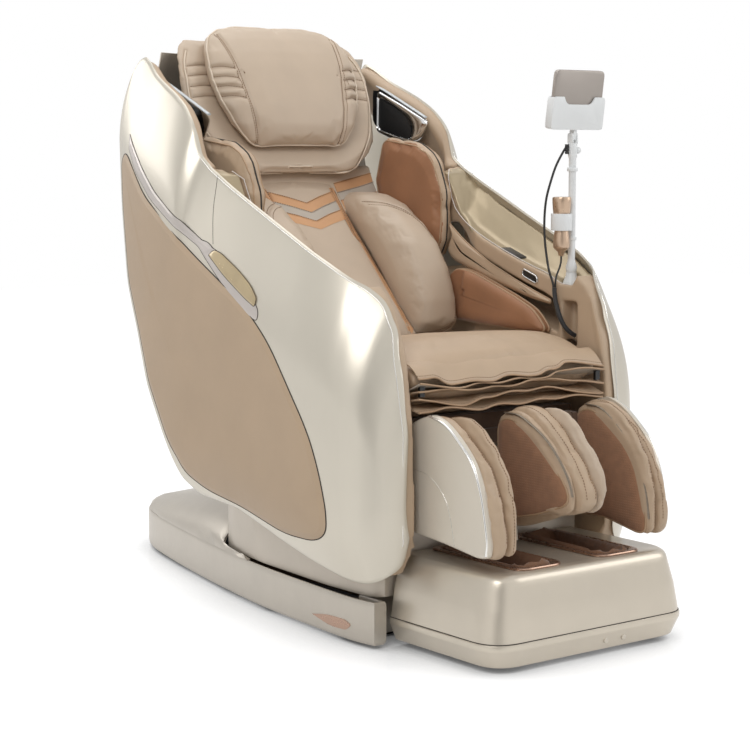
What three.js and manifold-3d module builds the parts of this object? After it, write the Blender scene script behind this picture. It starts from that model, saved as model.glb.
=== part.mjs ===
// Massage chair, an assembly of separate sub-parts. Millimetres, +Z up.
// The sitter faces -Y, the sitter's left is +X, and the origin is the centre of the footprint on the floor.
import * as THREE from 'three';
import { mergeVertices } from 'three/addons/utils/BufferGeometryUtils.js';
import Module from 'manifold-3d';

const wasm = await Module();
wasm.setup();

// ---------------------------------------------------------------- driving dimensions
const GAP = 0.3;                     // seat of one rigid piece on another
const FRONT_Y = -780;                // front of the foot box
const NOSE_Y = 780;                  // rear nose of the base
const SHELL_WALL = 9;                // side shell thickness
const SHELL_BULGE = 405;             // widest half width of the side shells
const PANEL_THICK = 4;               // leather side panel
const SKIRT_WALL = 8;                // base skirt wall
const SKIRT_FLOOR_GAP = 8;           // skirt above the floor
const LEDGE_Z = 96;                  // top of the skirt, where the moving body begins
const FOOT_RADIUS = 22;              // front rubber feet
const FOOT_HEIGHT = 14;
const WHEEL_RADIUS = 26;             // rear transport wheels
const WHEEL_WIDTH = 22;
const AXLE_RADIUS = 5;
const RAIL_X = 200;                  // base and seat rails, distance from the middle
const RAIL_WIDTH = 40;
const RAIL_TOP_Z = 66;               // top of the base rails
const SEAT_RAIL_Z = 420;             // top of the seat frame
const BACK_PIVOT = [0, 450];         // Y, Z of the backrest hinge
const LEG_PIVOT = [-520, 430];       // Y, Z of the leg rest hinge
const PIN_RADIUS = 9;                // hinge pins of both
const PIN_CLEARANCE = 0.5;
const HUB_RADIUS = 20;
const CALF_HALF = 240;               // outer face of the calf plates
const LEG_CLEARANCE = 22;            // calf plates to the inner face of the arms
const INNER_X = CALF_HALF + LEG_CLEARANCE;   // seat side of the arms
const SEAT_HALF = INNER_X - 12;      // seat cushion half width
const CARRIAGE_HALF = 133;           // half width of the kneading carriage
const CARRIAGE_GAP = 7;              // carriage plate to the back rails
const CALF_BACK_Y = -508;            // front face of the calf frame
const BACK_WALL = 5;                 // rear cover thickness
const CORD_DIAMETER = 5;             // tablet cord
const WAND_CORD_DIAMETER = 4;
const BUNDLE_DIAMETER = 10;          // the two cords in their wrap
const STAND_X = 305;                 // tablet stand on the left arm of the sitter
const STAND_Y = -370;

// ---------------------------------------------------------------- materials
const finish = (color, roughness, metalness = 0) =>
  new THREE.MeshStandardMaterial({ color, roughness, metalness });
const champagne = finish(0xcbc2b1, 0.28, 0.55);
const champagneLight = finish(0xd6cdbd, 0.35, 0.2);
const tanLeather = finish(0xb9a086, 0.6);
const taupeLeather = finish(0xc8b49e, 0.55);
const brownFabric = finish(0x8a6244, 0.85);
const whitePlastic = finish(0xf1f1ee, 0.4);
const roseGold = finish(0xb79a8b, 0.3, 0.8);
const steel = finish(0x565860, 0.5, 0.8);
const rubber = finish(0x1c1c1e, 0.8);
const blackGloss = finish(0x101012, 0.2);
const tabletMetal = finish(0x9c9288, 0.4, 0.6);

// ---------------------------------------------------------------- shape helpers
const vec = (x, y, z) => new THREE.Vector3(x, y, z);
const smooth = (low, high, value) => THREE.MathUtils.smoothstep(value, low, high);
const span = (low, high, count) =>
  Array.from({ length: count }, (_, i) => low + (high - low) * i / (count - 1));

// Smooth single-valued curve through a table of [key, value] rows, flat past its ends.
function curve(table) {
  const keys = table.map(row => row[0]);
  const values = table.map(row => row[1]);
  const last = keys.length - 1;
  const chord = i => (values[i + 1] - values[i]) / (keys[i + 1] - keys[i]);
  const slope = keys.map((_, i) => {
    if (i === 0 || i === last) return 0;
    const before = chord(i - 1);
    const after = chord(i);
    return before * after <= 0 ? 0 : 2 * before * after / (before + after);
  });
  slope[0] = chord(0);
  slope[last] = chord(last - 1);
  return key => {
    if (key <= keys[0]) return values[0];
    if (key >= keys[last]) return values[last];
    const i = keys.findIndex((k, n) => n < last && key <= keys[n + 1]);
    const width = keys[i + 1] - keys[i];
    const t = (key - keys[i]) / width;
    const t2 = t * t;
    const t3 = t2 * t;
    return values[i] * (2 * t3 - 3 * t2 + 1) + values[i + 1] * (3 * t2 - 2 * t3)
      + slope[i] * width * (t3 - 2 * t2 + t) + slope[i + 1] * width * (t3 - t2);
  };
}

// Drops doubled vertices and turns every face outward.
function outward(geometry) {
  const clean = geometry.clone();
  clean.deleteAttribute('normal');
  clean.deleteAttribute('uv');
  const merged = mergeVertices(clean, 1e-4);
  const p = merged.attributes.position;
  const index = Array.from(merged.index.array);
  const a = vec(), b = vec(), c = vec();
  let volume = 0;
  for (let i = 0; i < index.length; i += 3) {
    a.fromBufferAttribute(p, index[i]);
    b.fromBufferAttribute(p, index[i + 1]);
    c.fromBufferAttribute(p, index[i + 2]);
    volume += a.dot(b.cross(c));
  }
  if (volume < 0) {
    for (let i = 0; i < index.length; i += 3) {
      [index[i + 1], index[i + 2]] = [index[i + 2], index[i + 1]];
    }
  }
  merged.setIndex(index);
  return merged;
}

function fromFaces(points, faces) {
  const geometry = new THREE.BufferGeometry();
  geometry.setAttribute('position', new THREE.Float32BufferAttribute(points.flatMap(p => [p.x, p.y, p.z]), 3));
  geometry.setIndex(faces.flat());
  return outward(geometry);
}

// A closed skin through rings of equal point counts, with a cap on the first and last ring.
function loft(rings) {
  const count = rings[0].length;
  const points = rings.flat();
  const faces = [];
  for (let r = 0; r + 1 < rings.length; r++) {
    for (let i = 0; i < count; i++) {
      const j = (i + 1) % count;
      const a = r * count + i, b = r * count + j;
      faces.push([a, b, b + count], [a, b + count, a + count]);
    }
  }
  const cap = (ring, offset, flip) => {
    const centre = ring.reduce((sum, p) => sum.add(p), vec(0, 0, 0)).divideScalar(count);
    points.push(centre);
    const hub = points.length - 1;
    for (let i = 0; i < count; i++) {
      const j = (i + 1) % count;
      faces.push(flip ? [hub, offset + i, offset + j] : [hub, offset + j, offset + i]);
    }
  };
  cap(rings[0], 0, false);
  cap(rings[rings.length - 1], (rings.length - 1) * count, true);
  return fromFaces(points, faces);
}

// A wall between two surfaces that share one grid of stations: near(u, v) and far(u, v) give points.
function slab(us, vs, near, far) {
  const points = [];
  for (const side of [near, far]) {
    for (const u of us) for (const v of vs) points.push(side(u, v));
  }
  const nu = us.length, nv = vs.length, half = nu * nv;
  const at = (i, j, side) => side * half + i * nv + j;
  const faces = [];
  const quad = (a, b, c, d) => faces.push([a, b, c], [a, c, d]);
  for (let i = 0; i + 1 < nu; i++) {
    for (let j = 0; j + 1 < nv; j++) {
      quad(at(i, j, 0), at(i + 1, j, 0), at(i + 1, j + 1, 0), at(i, j + 1, 0));
      faces.push([at(i, j, 1), at(i + 1, j + 1, 1), at(i + 1, j, 1)]);
      faces.push([at(i, j, 1), at(i, j + 1, 1), at(i + 1, j + 1, 1)]);
    }
  }
  for (let i = 0; i + 1 < nu; i++) {
    quad(at(i, 0, 0), at(i, 0, 1), at(i + 1, 0, 1), at(i + 1, 0, 0));
    quad(at(i, nv - 1, 0), at(i + 1, nv - 1, 0), at(i + 1, nv - 1, 1), at(i, nv - 1, 1));
  }
  for (let j = 0; j + 1 < nv; j++) {
    quad(at(0, j, 0), at(0, j + 1, 0), at(0, j + 1, 1), at(0, j, 1));
    quad(at(nu - 1, j, 0), at(nu - 1, j, 1), at(nu - 1, j + 1, 1), at(nu - 1, j + 1, 0));
  }
  return fromFaces(points, faces);
}

// Rounds the corners of a polygon of [a, b, radius] points; a corner with no radius stays sharp.
function rounded(corners, radius = 0, steps = 4) {
  const out = [];
  const n = corners.length;
  corners.forEach((corner, i) => {
    const here = new THREE.Vector2(corner[0], corner[1]);
    const before = new THREE.Vector2(...corners[(i + n - 1) % n].slice(0, 2)).sub(here);
    const after = new THREE.Vector2(...corners[(i + 1) % n].slice(0, 2)).sub(here);
    const r = corner[2] ?? radius;
    if (r === 0) {
      out.push(here);
      return;
    }
    const reach = Math.min(r, before.length() * 0.49, after.length() * 0.49);
    const start = here.clone().add(before.setLength(reach));
    const end = here.clone().add(after.setLength(reach));
    const arc = new THREE.QuadraticBezierCurve(start, here, end);
    out.push(...arc.getPoints(steps));
  });
  return out;
}

// Prisms: the outline lies in the plane across the named axis, in the order (next axis, next axis).
const AXES = {
  x: (a, b, h) => vec(h, a, b),
  y: (a, b, h) => vec(a, h, b),
  z: (a, b, h) => vec(a, b, h),
};
function prism(axis, outline, low, high, holes = []) {
  const shape = new THREE.Shape(outline.map(p => (p.isVector2 ? p : new THREE.Vector2(p[0], p[1]))));
  for (const hole of holes) {
    shape.holes.push(new THREE.Path(hole.map(p => (p.isVector2 ? p : new THREE.Vector2(p[0], p[1])))));
  }
  const geometry = new THREE.ExtrudeGeometry(shape, { depth: high - low, bevelEnabled: false });
  const p = geometry.attributes.position;
  for (let i = 0; i < p.count; i++) {
    const moved = AXES[axis](p.getX(i), p.getY(i), low + p.getZ(i));
    p.setXYZ(i, moved.x, moved.y, moved.z);
  }
  return outward(geometry);
}
function box(x0, x1, y0, y1, z0, z1) {
  const geometry = new THREE.BoxGeometry(x1 - x0, y1 - y0, z1 - z0);
  geometry.translate((x0 + x1) / 2, (y0 + y1) / 2, (z0 + z1) / 2);
  return outward(geometry);
}
// A round bar along X between two stations.
function barX(radius, x0, x1, y, z, sides = 20) {
  const geometry = new THREE.CylinderGeometry(radius, radius, x1 - x0, sides, 1, false, Math.PI / sides);
  geometry.rotateZ(Math.PI / 2);
  geometry.translate((x0 + x1) / 2, y, z);
  return outward(geometry);
}
// A turned piece on a vertical axis: profile rows are [radius, z].
function turned(profile, x, y, sides = 24) {
  const geometry = new THREE.LatheGeometry(profile.map(p => new THREE.Vector2(p[0], p[1])), sides);
  geometry.rotateX(Math.PI / 2);
  geometry.translate(x, y, 0);
  return outward(geometry);
}

// Booleans.
function solid(geometry) {
  return new wasm.Manifold(new wasm.Mesh({
    numProp: 3,
    vertProperties: new Float32Array(geometry.attributes.position.array),
    triVerts: new Uint32Array(geometry.index.array),
  }));
}
function geometryOf(manifold) {
  const mesh = manifold.getMesh();
  const geometry = new THREE.BufferGeometry();
  geometry.setAttribute('position', new THREE.Float32BufferAttribute(Array.from(mesh.vertProperties), 3));
  geometry.setIndex(Array.from(mesh.triVerts));
  return outward(geometry);
}
const join = (...pieces) => geometryOf(pieces.map(solid).reduce((a, b) => a.add(b)));
const cut = (piece, ...tools) => geometryOf(tools.map(solid).reduce((a, b) => a.subtract(b), solid(piece)));
const common = (a, b) => geometryOf(solid(a).intersect(solid(b)));

// The same piece on the other side of the chair.
function mirrored(geometry) {
  const other = geometry.clone();
  other.scale(-1, 1, 1);
  return outward(other);
}

const massageChair = new THREE.Group();
function add(name, geometry, material) {
  const mesh = new THREE.Mesh(geometry, material);
  mesh.name = name;
  massageChair.add(mesh);
  return mesh;
}
// left and right are the sitter's: the left piece is at +X.
function addPair(name, geometry, material) {
  add(`${name}_left`, geometry, material);
  add(`${name}_right`, mirrored(geometry), material);
}

// A soft body lofted through superellipse rings across an axis. Each ring is
// { at, a: [low, high], b: [low, high] }, and press(ringIndex, a, b) moves a point along b.
function softBody(axis, rings, around, power, press = null) {
  const order = { x: (a, b, h) => vec(h, a, b), y: (a, b, h) => vec(a, h, b), z: (a, b, h) => vec(a, b, h) };
  const skin = rings.map((ring, row) => span(0, 2 * Math.PI, around + 1).slice(0, -1).map(angle => {
    const c = Math.cos(angle), s = Math.sin(angle);
    const halfA = (ring.a[1] - ring.a[0]) / 2, halfB = (ring.b[1] - ring.b[0]) / 2;
    const a = (ring.a[0] + ring.a[1]) / 2 + halfA * Math.sign(c) * Math.abs(c) ** power;
    const b = (ring.b[0] + ring.b[1]) / 2 + halfB * Math.sign(s) * Math.abs(s) ** power;
    const moved = press ? press(row, a, b, s) : b;
    return order[axis](a, moved, ring.at);
  }));
  return loft(skin);
}

// ---------------------------------------------------------------- base: skirt, deck, frame
const NOSE_HALF = 34;                // the nose ends in a short flat
// Half width of the boat-shaped base at each Y.
const hullHalf = curve([
  [-470, 308], [-397, 316], [-200, 306], [-43, 292], [150, 262], [343, 225], [500, 190], [646, 150],
  [720, 112], [762, 66], [NOSE_Y, NOSE_HALF],
]);
const HULL_STATIONS = [-470, -430, -397, -300, -200, -43, 150, 343, 500, 600, 680, 730, 762, NOSE_Y];
const PILLAR_INNER = 278;            // the skirt's front pillars stand either side of the foot box
const PILLAR_BACK_Y = -398;
function hullOutline(inset, frontInset) {
  const right = HULL_STATIONS.map(y => {
    const nearNose = Math.min(y, NOSE_Y - inset);
    return [hullHalf(y) - inset, Math.max(nearNose, -470 + frontInset)];
  });
  const left = right.slice().reverse().map(([x, y]) => [-x, y]);
  return { right, left };
}
function skirtOutline(inset) {
  const { right, left } = hullOutline(inset, inset);
  const pillar = PILLAR_INNER + inset;
  const back = PILLAR_BACK_Y + inset;
  return [...right, ...left, [-pillar, -470 + inset], [-pillar, back], [pillar, back], [pillar, -470 + inset]];
}
const RUNNER_NOTCH = 236;            // half width of the notch that the seat runners slide through
const INLET = { halfX: 30, z0: 30, z1: 70 };
const skirtWall = prism('z', skirtOutline(0), SKIRT_FLOOR_GAP, LEDGE_Z, [skirtOutline(SKIRT_WALL)]);
add('base_skirt', cut(skirtWall,
  box(-RUNNER_NOTCH, RUNNER_NOTCH, PILLAR_BACK_Y - 5, PILLAR_BACK_Y + 20, RAIL_TOP_Z - 4, LEDGE_Z + 5),
  box(-INLET.halfX - 1, INLET.halfX + 1, NOSE_Y - 12, NOSE_Y + 5, INLET.z0 - 1, INLET.z1 + 1)), champagneLight);

// Rear deck: a domed cover that stands on the skirt behind the moving body.
const DECK_FRONT_Y = 20;
const DECK_WALL = 5;
const LOWER_REAR_Y = 150;            // rear end of the moving lower cover
const lowerHalf = curve([[-452, 268], [-440, 284], [-420, 292], [-300, 296], [-43, 280], [100, 258], [150, 246]]);
const deckRise = curve([
  [20, 6], [70, 34], [130, 72], [190, 96], [280, 100], [400, 84], [560, 58], [700, 34], [NOSE_Y, 12],
]);
const DECK_ACROSS = [-1, -0.96, -0.85, -0.6, 0, 0.6, 0.85, 0.96, 1];
function deckSkin(inset, drop, bottom) {
  const stations = [DECK_FRONT_Y, 70, 130, 190, 240, 320, 440, 560, 680, 740, NOSE_Y - 1];
  return loft(stations.map((y, row) => {
    const end = row === stations.length - 1;
    const half = Math.max(hullHalf(y) - inset, 3);
    const crown = deckRise(y) - drop;
    const at = end ? y - inset : (row === 0 ? y + inset : Math.min(y, NOSE_Y - 1 - inset - 1));
    const top = DECK_ACROSS.map(s => vec(half * s, at, LEDGE_Z + GAP + crown * (1 - Math.abs(s) ** 3.2) ** 0.6));
    return [...top, vec(half, at, bottom), vec(-half, at, bottom)];
  }));
}
const deckOuter = deckSkin(0, 0, LEDGE_Z + GAP - 0.01);
const deckInner = deckSkin(DECK_WALL + 1, DECK_WALL, LEDGE_Z - 20);
const deckNotch = prism('z', [
  [-lowerHalf(20) - 8, -50], [lowerHalf(20) + 8, -50], [lowerHalf(100) + 8, 100],
  [lowerHalf(150) + 8, LOWER_REAR_Y + 8], [-lowerHalf(150) - 8, LOWER_REAR_Y + 8], [-lowerHalf(100) - 8, 100],
], 60, 400);
add('rear_deck_cover', cut(deckOuter, deckInner, deckNotch), champagne);

// Base frame: two rails, cross members that reach the skirt, and the rear wheel forks.
const FRAME_BOTTOM_Z = FOOT_HEIGHT + GAP;
const FRAME_FRONT_Y = -388;
const FRAME_REAR_Y = 540;
const WHEEL_Y = 590;
const WHEEL_X = 110;
const FORK_GAP = 2;
const RAIL_IN = RAIL_X - RAIL_WIDTH / 2, RAIL_OUT = RAIL_X + RAIL_WIDTH / 2;
const railEnd = 180;
function crossMember(y, depth, z0, z1, half) {
  return box(-half, half, y - depth / 2, y + depth / 2, z0, z1);
}
const forkInner = WHEEL_X - WHEEL_WIDTH / 2 - FORK_GAP, forkOuter = WHEEL_X + WHEEL_WIDTH / 2 + FORK_GAP;
const FORK_PLATE = 6;
const forkPlate = x => prism('x', rounded([
  [FRAME_REAR_Y - 30, 34], [WHEEL_Y - 10, 16], [WHEEL_Y + 12, 16], [WHEEL_Y + 12, 40], [FRAME_REAR_Y - 10, RAIL_TOP_Z],
  [FRAME_REAR_Y - 30, RAIL_TOP_Z],
], 0), x, x + FORK_PLATE);
const SKIRT_SEAT = 1;                // the frame's cross members stop this far inside the skirt
function skirtReach(y) {
  const i = HULL_STATIONS.findIndex(station => station >= y);
  const [y0, y1] = [HULL_STATIONS[i - 1], HULL_STATIONS[i]];
  return THREE.MathUtils.mapLinear(y, y0, y1, hullHalf(y0), hullHalf(y1)) - SKIRT_WALL - SKIRT_SEAT;
}
const baseFrame = join(
  box(RAIL_IN, RAIL_OUT, FRAME_FRONT_Y, railEnd, FRAME_BOTTOM_Z, RAIL_TOP_Z),
  box(-RAIL_OUT, -RAIL_IN, FRAME_FRONT_Y, railEnd, FRAME_BOTTOM_Z, RAIL_TOP_Z),
  crossMember(FRAME_FRONT_Y + 20, 40, 24, RAIL_TOP_Z - 6, skirtReach(FRAME_FRONT_Y + 40)),
  crossMember(-60, 40, 24, RAIL_TOP_Z - 6, skirtReach(-40)),
  crossMember(railEnd - 20, 40, 24, RAIL_TOP_Z - 6, skirtReach(railEnd)),
  box(-150, -110, railEnd - 30, FRAME_REAR_Y - 20, 24, RAIL_TOP_Z - 6),
  box(110, 150, railEnd - 30, FRAME_REAR_Y - 20, 24, RAIL_TOP_Z - 6),
  crossMember(FRAME_REAR_Y - 20, 40, 24, RAIL_TOP_Z, skirtReach(FRAME_REAR_Y)),
  ...[1, -1].flatMap(side => [
    forkPlate(side > 0 ? forkInner - FORK_PLATE : -forkInner),
    forkPlate(side > 0 ? forkOuter : -forkOuter - FORK_PLATE),
    barX(AXLE_RADIUS, side > 0 ? forkInner - 1 : -forkOuter - 1, side > 0 ? forkOuter + 1 : -forkInner + 1,
      WHEEL_Y, WHEEL_RADIUS, 16),
  ]),
  box(-18, 18, FRAME_REAR_Y - 10, NOSE_Y - 22, INLET.z0 + 10, INLET.z1 - 10),
  box(-INLET.halfX, INLET.halfX, NOSE_Y - 26, NOSE_Y - 2, INLET.z0, INLET.z1),
);
// The mains module in the nose: a recess for the plug, and one for the rocker switch.
const ROCKER = { x: 16, z: 50, halfX: 6, halfZ: 10, depth: 9, tip: 2 };
add('base_frame', cut(baseFrame,
  box(-26, -2, NOSE_Y - 20, NOSE_Y + 2, 38, 62),
  box(ROCKER.x - ROCKER.halfX - 0.6, ROCKER.x + ROCKER.halfX + 0.6, NOSE_Y - 2 - ROCKER.depth - 3, NOSE_Y + 2,
    ROCKER.z - ROCKER.halfZ - 1.5, ROCKER.z + ROCKER.halfZ + 1.5)), steel);
add('power_switch', prism('x', [
  [NOSE_Y - 2 - ROCKER.depth, ROCKER.z - ROCKER.halfZ + 4], [NOSE_Y - 4, ROCKER.z - ROCKER.halfZ],
  [NOSE_Y - 1, ROCKER.z], [NOSE_Y - 4, ROCKER.z + ROCKER.halfZ], [NOSE_Y - 2 - ROCKER.depth, ROCKER.z + ROCKER.halfZ - 4],
], ROCKER.x - ROCKER.halfX, ROCKER.x + ROCKER.halfX), blackGloss);

// Front feet and rear transport wheels.
const FOOT_Y = FRAME_FRONT_Y + 30;
addPair('front_foot', turned([[0, 0], [FOOT_RADIUS, 0], [FOOT_RADIUS - 4, FOOT_HEIGHT], [0, FOOT_HEIGHT]],
  RAIL_X, FOOT_Y, 16), rubber);
function wheel(x) {
  const sides = 16;
  const rim = WHEEL_RADIUS / Math.cos(Math.PI / sides);
  const geometry = new THREE.LatheGeometry([
    [AXLE_RADIUS + PIN_CLEARANCE, -WHEEL_WIDTH / 2], [rim - 3, -WHEEL_WIDTH / 2], [rim, -WHEEL_WIDTH / 2 + 3],
    [rim, WHEEL_WIDTH / 2 - 3], [rim - 3, WHEEL_WIDTH / 2], [AXLE_RADIUS + PIN_CLEARANCE, WHEEL_WIDTH / 2],
    [AXLE_RADIUS + PIN_CLEARANCE, -WHEEL_WIDTH / 2],
  ].map(p => new THREE.Vector2(...p)), sides, Math.PI / sides);
  geometry.rotateZ(Math.PI / 2);
  geometry.translate(x, WHEEL_Y, WHEEL_RADIUS);
  return outward(geometry);
}
addPair('transport_wheel', wheel(WHEEL_X), rubber);

// ---------------------------------------------------------------- side shells
// Top and bottom edge of a shell at each Y, seen from the side.
const shellTop = curve([
  [-540, 470], [-529, 520], [-515, 600], [-503, 640], [-484, 680], [-466, 700], [-432, 728], [-371, 759], [-281, 799], [-193, 837],
  [-115, 871], [-30, 909], [45, 945], [80, 968], [110, 1042], [151, 1080], [202, 1108], [295, 1148], [350, 1180],
  [400, 1212],
]);
const planHalf = curve([
  [-541, CALF_HALF + 42], [-529, CALF_HALF + 78], [-515, CALF_HALF + 104], [-490, CALF_HALF + 128],
  [-455, CALF_HALF + 145], [-400, 396], [-320, 402], [-210, SHELL_BULGE - 2],
  [-80, SHELL_BULGE], [80, SHELL_BULGE], [220, 396], [340, 376], [430, 350],
]);
// The upper edge leans in by this much at each Y.
const topLean = curve([[-541, 2], [-529, 38], [-515, 66], [-500, 82], [-470, 92], [-445, 86], [-420, 72], [-371, 60], [-300, 55]]);
const LEAN_DEPTH = 220;
const BOTTOM_CURL = 30;
const shellBottom = curve([[-540, 175], [-520, 165], [-485, 140], [-454, 144], [-363, 164], [-240, 193], [-80, 237], [104, 250]]);
function shellX(y, z) {
  const fromTop = Math.max(0, Math.min(1, 1 - (shellTop(y) - z) / LEAN_DEPTH));
  const fromBottom = Math.max(0, Math.min(1, 1 - (z - shellBottom(y)) / 130));
  return planHalf(y) - topLean(y) * fromTop ** 2 - BOTTOM_CURL * fromBottom ** 2;
}
// Side outline of the shell, in Y and Z.
const SHELL_OUTLINE = [
  [-445, 718, 24], [-371, 759, 20], [-281, 799, 20], [-193, 837, 20], [-30, 909, 20], [45, 945, 14], [84, 972, 10], [108, 1038, 26],
  [151, 1080, 20], [202, 1108, 10], [295, 1148, 10], [368, 1198, 12], [372, 1217, 8], [390, 1189, 10], [410, 1153, 10],
  [424, 1100, 10], [430, 1026, 20], [416, 859, 30], [372, 689, 30], [306, 582, 20], [253, 470, 20], [164, 353, 20],
  [118, 272, 16], [70, 246, 20], [-80, 236, 20], [-240, 193, 20], [-363, 164, 20], [-454, 143, 20], [-492, 141, 16],
  [-526, 170, 20], [-538, 230, 10], [-538, 440, 20], [-521, 560, 20], [-504, 636, 20], [-481, 684, 20],
];
const SHELL_Y = [-541, -526, -502, -470, -415, -340, -200, -100, -40, 70, 130, 210, 320, 435];
const SHELL_Z = [125, 170, 230, 380, 540, 670, 760, 850, 930, 1010, 1080, 1150, 1225];
const shellBand = (low, high) => slab(SHELL_Y, SHELL_Z,
  (y, z) => vec(shellX(y, z) - low, y, z), (y, z) => vec(shellX(y, z) - high, y, z));
const BEYOND_X = SHELL_BULGE + 35;    // past the widest skin
const shellPrism = prism('x', rounded(SHELL_OUTLINE, 0, 1), 180, BEYOND_X);
addPair('side_shell', common(shellBand(0, SHELL_WALL), shellPrism), champagne);

// Leather side panel on the lower rear of each shell.
const PANEL_OUTLINE = [
  [362, 982, 30], [252, 887, 30], [41, 768, 60], [-156, 670, 60], [-243, 600, 40], [-300, 530, 60], [-369, 441, 60],
  [-405, 360, 60], [-426, 277, 30], [-422, 236, 30], [-382, 216, 30], [-270, 214, 40], [-111, 244, 40], [20, 262, 40],
  [90, 290, 20], [150, 360, 20], [236, 474, 20], [290, 588, 20], [354, 694, 30], [396, 862, 30], [404, 960, 24],
];
addPair('side_panel', common(shellBand(-GAP - PANEL_THICK, -GAP), prism('x', rounded(PANEL_OUTLINE, 0, 1), 180, BEYOND_X)),
  tanLeather);

// ---------------------------------------------------------------- arms: liner, tray, hand channel
// Height of the inner rim of the arm tray at each Y.
const rimZ = curve([
  [-445, 692], [-383, 695], [-330, 716], [-270, 733], [-155, 772], [-60, 815],
  [-10, 858], [12, 905], [30, 935], [60, 946],
]);
const REAR_INNER_X = INNER_X + 24;   // beside the backrest
const innerX = y => INNER_X + (REAR_INNER_X - INNER_X) * smooth(-100, -40, y);
const CHANNEL_OUT_X = 358;           // outer wall of the hand channel
const CHANNEL_FRONT_Y = -376;
const UPPER_LIP = 40;                // rim down to the channel's ceiling
const channelFloor = y => 605 + 0.285 * (y + 333);
const LINER_REAR_Y = 58;
const linerBlock = slab(SHELL_Y, SHELL_Z,
  (y, z) => vec(shellX(y, z) - SHELL_WALL - GAP, y, z),
  (y, z) => vec(Math.min(innerX(y), shellX(y, z) - SHELL_WALL - GAP - 12), y, z));
const LINER_OUTLINE = [
  [-443, 714.5, 24], [-370, 755, 20], [-280, 795.5, 20], [-193, 833.5, 20], [-30, 906, 20], [LINER_REAR_Y, 946], [LINER_REAR_Y, 262],
  [-80, 240, 20], [-240, 197, 20], [-363, 168, 20], [-454, 147, 20], [-490, 145, 16], [-523, 172, 20],
  [-534.5, 230, 10], [-534.5, 440, 20], [-517.5, 559, 20], [-500.5, 634, 20], [-478, 681, 20],
];
// The arm's upper face: a raised lip along the rim, a sunk tray, then a slope up to the shell's edge.
const TRAY_OUT_X = 362;
const TRAY_X = [INNER_X - 12, INNER_X + 6, INNER_X + 12, INNER_X + 26, INNER_X + 43, INNER_X + 68, TRAY_OUT_X, SHELL_BULGE - 13];
const TRAY_Y = [-560, -470, -440, -432, -416, -383, -330, -270, -200, -130, -60, -20, 8, 30, 90];
const RIM_LIP = 3;
const TRAY_SINK = 4;
function trayHeight(x, y) {
  const base = rimZ(y) + (x < INNER_X + 8 ? RIM_LIP : -TRAY_SINK);
  const edge = shellTop(y) - 7;
  const slope = smooth(INNER_X + 34, TRAY_OUT_X, x) ** 1.2;
  return THREE.MathUtils.lerp(edge + 6, base + (edge - base) * slope, smooth(-440, -414, y));
}
const trayCutter = slab(TRAY_Y, TRAY_X, (y, x) => vec(x, y, trayHeight(x, y)), (y, x) => vec(x, y, 1400));
const CHANNEL_Y = [CHANNEL_FRONT_Y, -330, -270, -200, -130, -60, -10, 30, 80];
const channelCutter = slab(CHANNEL_Y, [230, CHANNEL_OUT_X],
  (y, x) => vec(x, y, channelFloor(y)), (y, x) => vec(x, y, rimZ(Math.min(y, -10)) - UPPER_LIP));
// Hollow behind the inner wall, open at the rear and below.
const LINER_WALL = 13;
const cavityFloor = [[-496, 60], [-496, 500], [-470, 530], ...[-383, -270, -155, -60, 90].map(
  y => [y, channelFloor(y) - LINER_WALL]), [90, 60]];
const linerCavity = common(
  slab(SHELL_Y, SHELL_Z, (y, z) => vec(shellX(y, z) - SHELL_WALL - LINER_WALL, y, z),
    (y, z) => vec(Math.min(innerX(y) + LINER_WALL, shellX(y, z) - SHELL_WALL - LINER_WALL - 1), y, z)),
  prism('x', cavityFloor, 180, BEYOND_X));
// Cord pocket in the front inner face of the left arm.
const POCKET = { y: [-432, -388], z: [566, 662], depth: 34 };
const pocketCutter = box(INNER_X - 10, INNER_X + POCKET.depth, POCKET.y[0], POCKET.y[1], POCKET.z[0], POCKET.z[1]);
// Slot for the quick key in the inner face, just below the rim.
const KEY = { y: -285, z: rimZ(-285) - 17, length: 44, height: 12, travel: 1.5, depth: 7 };
const keyOutline = grow => rounded([
  [KEY.y - KEY.length / 2 - grow, KEY.z - 10 - KEY.height / 2 - grow, 5], [KEY.y + KEY.length / 2 + grow, KEY.z + 6 - KEY.height / 2 - grow, 5],
  [KEY.y + KEY.length / 2 + grow, KEY.z + 6 + KEY.height / 2 + grow, 5], [KEY.y - KEY.length / 2 - grow, KEY.z - 10 + KEY.height / 2 + grow, 5],
], 0, 3);
const keyCutter = prism('x', keyOutline(0.6), INNER_X - 5, INNER_X + KEY.depth + KEY.travel + GAP);
const armLiner = cut(common(linerBlock, prism('x', rounded(LINER_OUTLINE, 0, 1), 180, BEYOND_X)),
  trayCutter, channelCutter, linerCavity, keyCutter);
// Flat seat for the tablet stand, at the level of the tray's lowest point under it.
const SOCKET_RADIUS = 19;
const SOCKET_SEAT_Z = trayHeight(STAND_X - SOCKET_RADIUS, STAND_Y) - 0.5;
const socketSeat = turned([[0, SOCKET_SEAT_Z], [SOCKET_RADIUS + 1, SOCKET_SEAT_Z], [SOCKET_RADIUS + 1, SOCKET_SEAT_Z + 60],
  [0, SOCKET_SEAT_Z + 60]], STAND_X, STAND_Y, 16);
add('arm_liner_left', cut(armLiner, pocketCutter, socketSeat), tanLeather);
add('arm_liner_right', mirrored(armLiner), tanLeather);
addPair('quick_key', prism('x', keyOutline(0), INNER_X - 2, INNER_X + KEY.depth), blackGloss);

// Speaker housing on the inside of each upper shell.
const SPEAKER_INNER_X = 298;
const speakerOutline = rounded([[328, 1142], [170, 1072], [196, 1010], [330, 1044]], 24);
addPair('speaker_housing', common(slab(SHELL_Y, SHELL_Z,
  (y, z) => vec(shellX(y, z) - SHELL_WALL - GAP, y, z), (y, z) => vec(SPEAKER_INNER_X, y, z)),
prism('x', speakerOutline, 200, BEYOND_X)), blackGloss);

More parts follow.
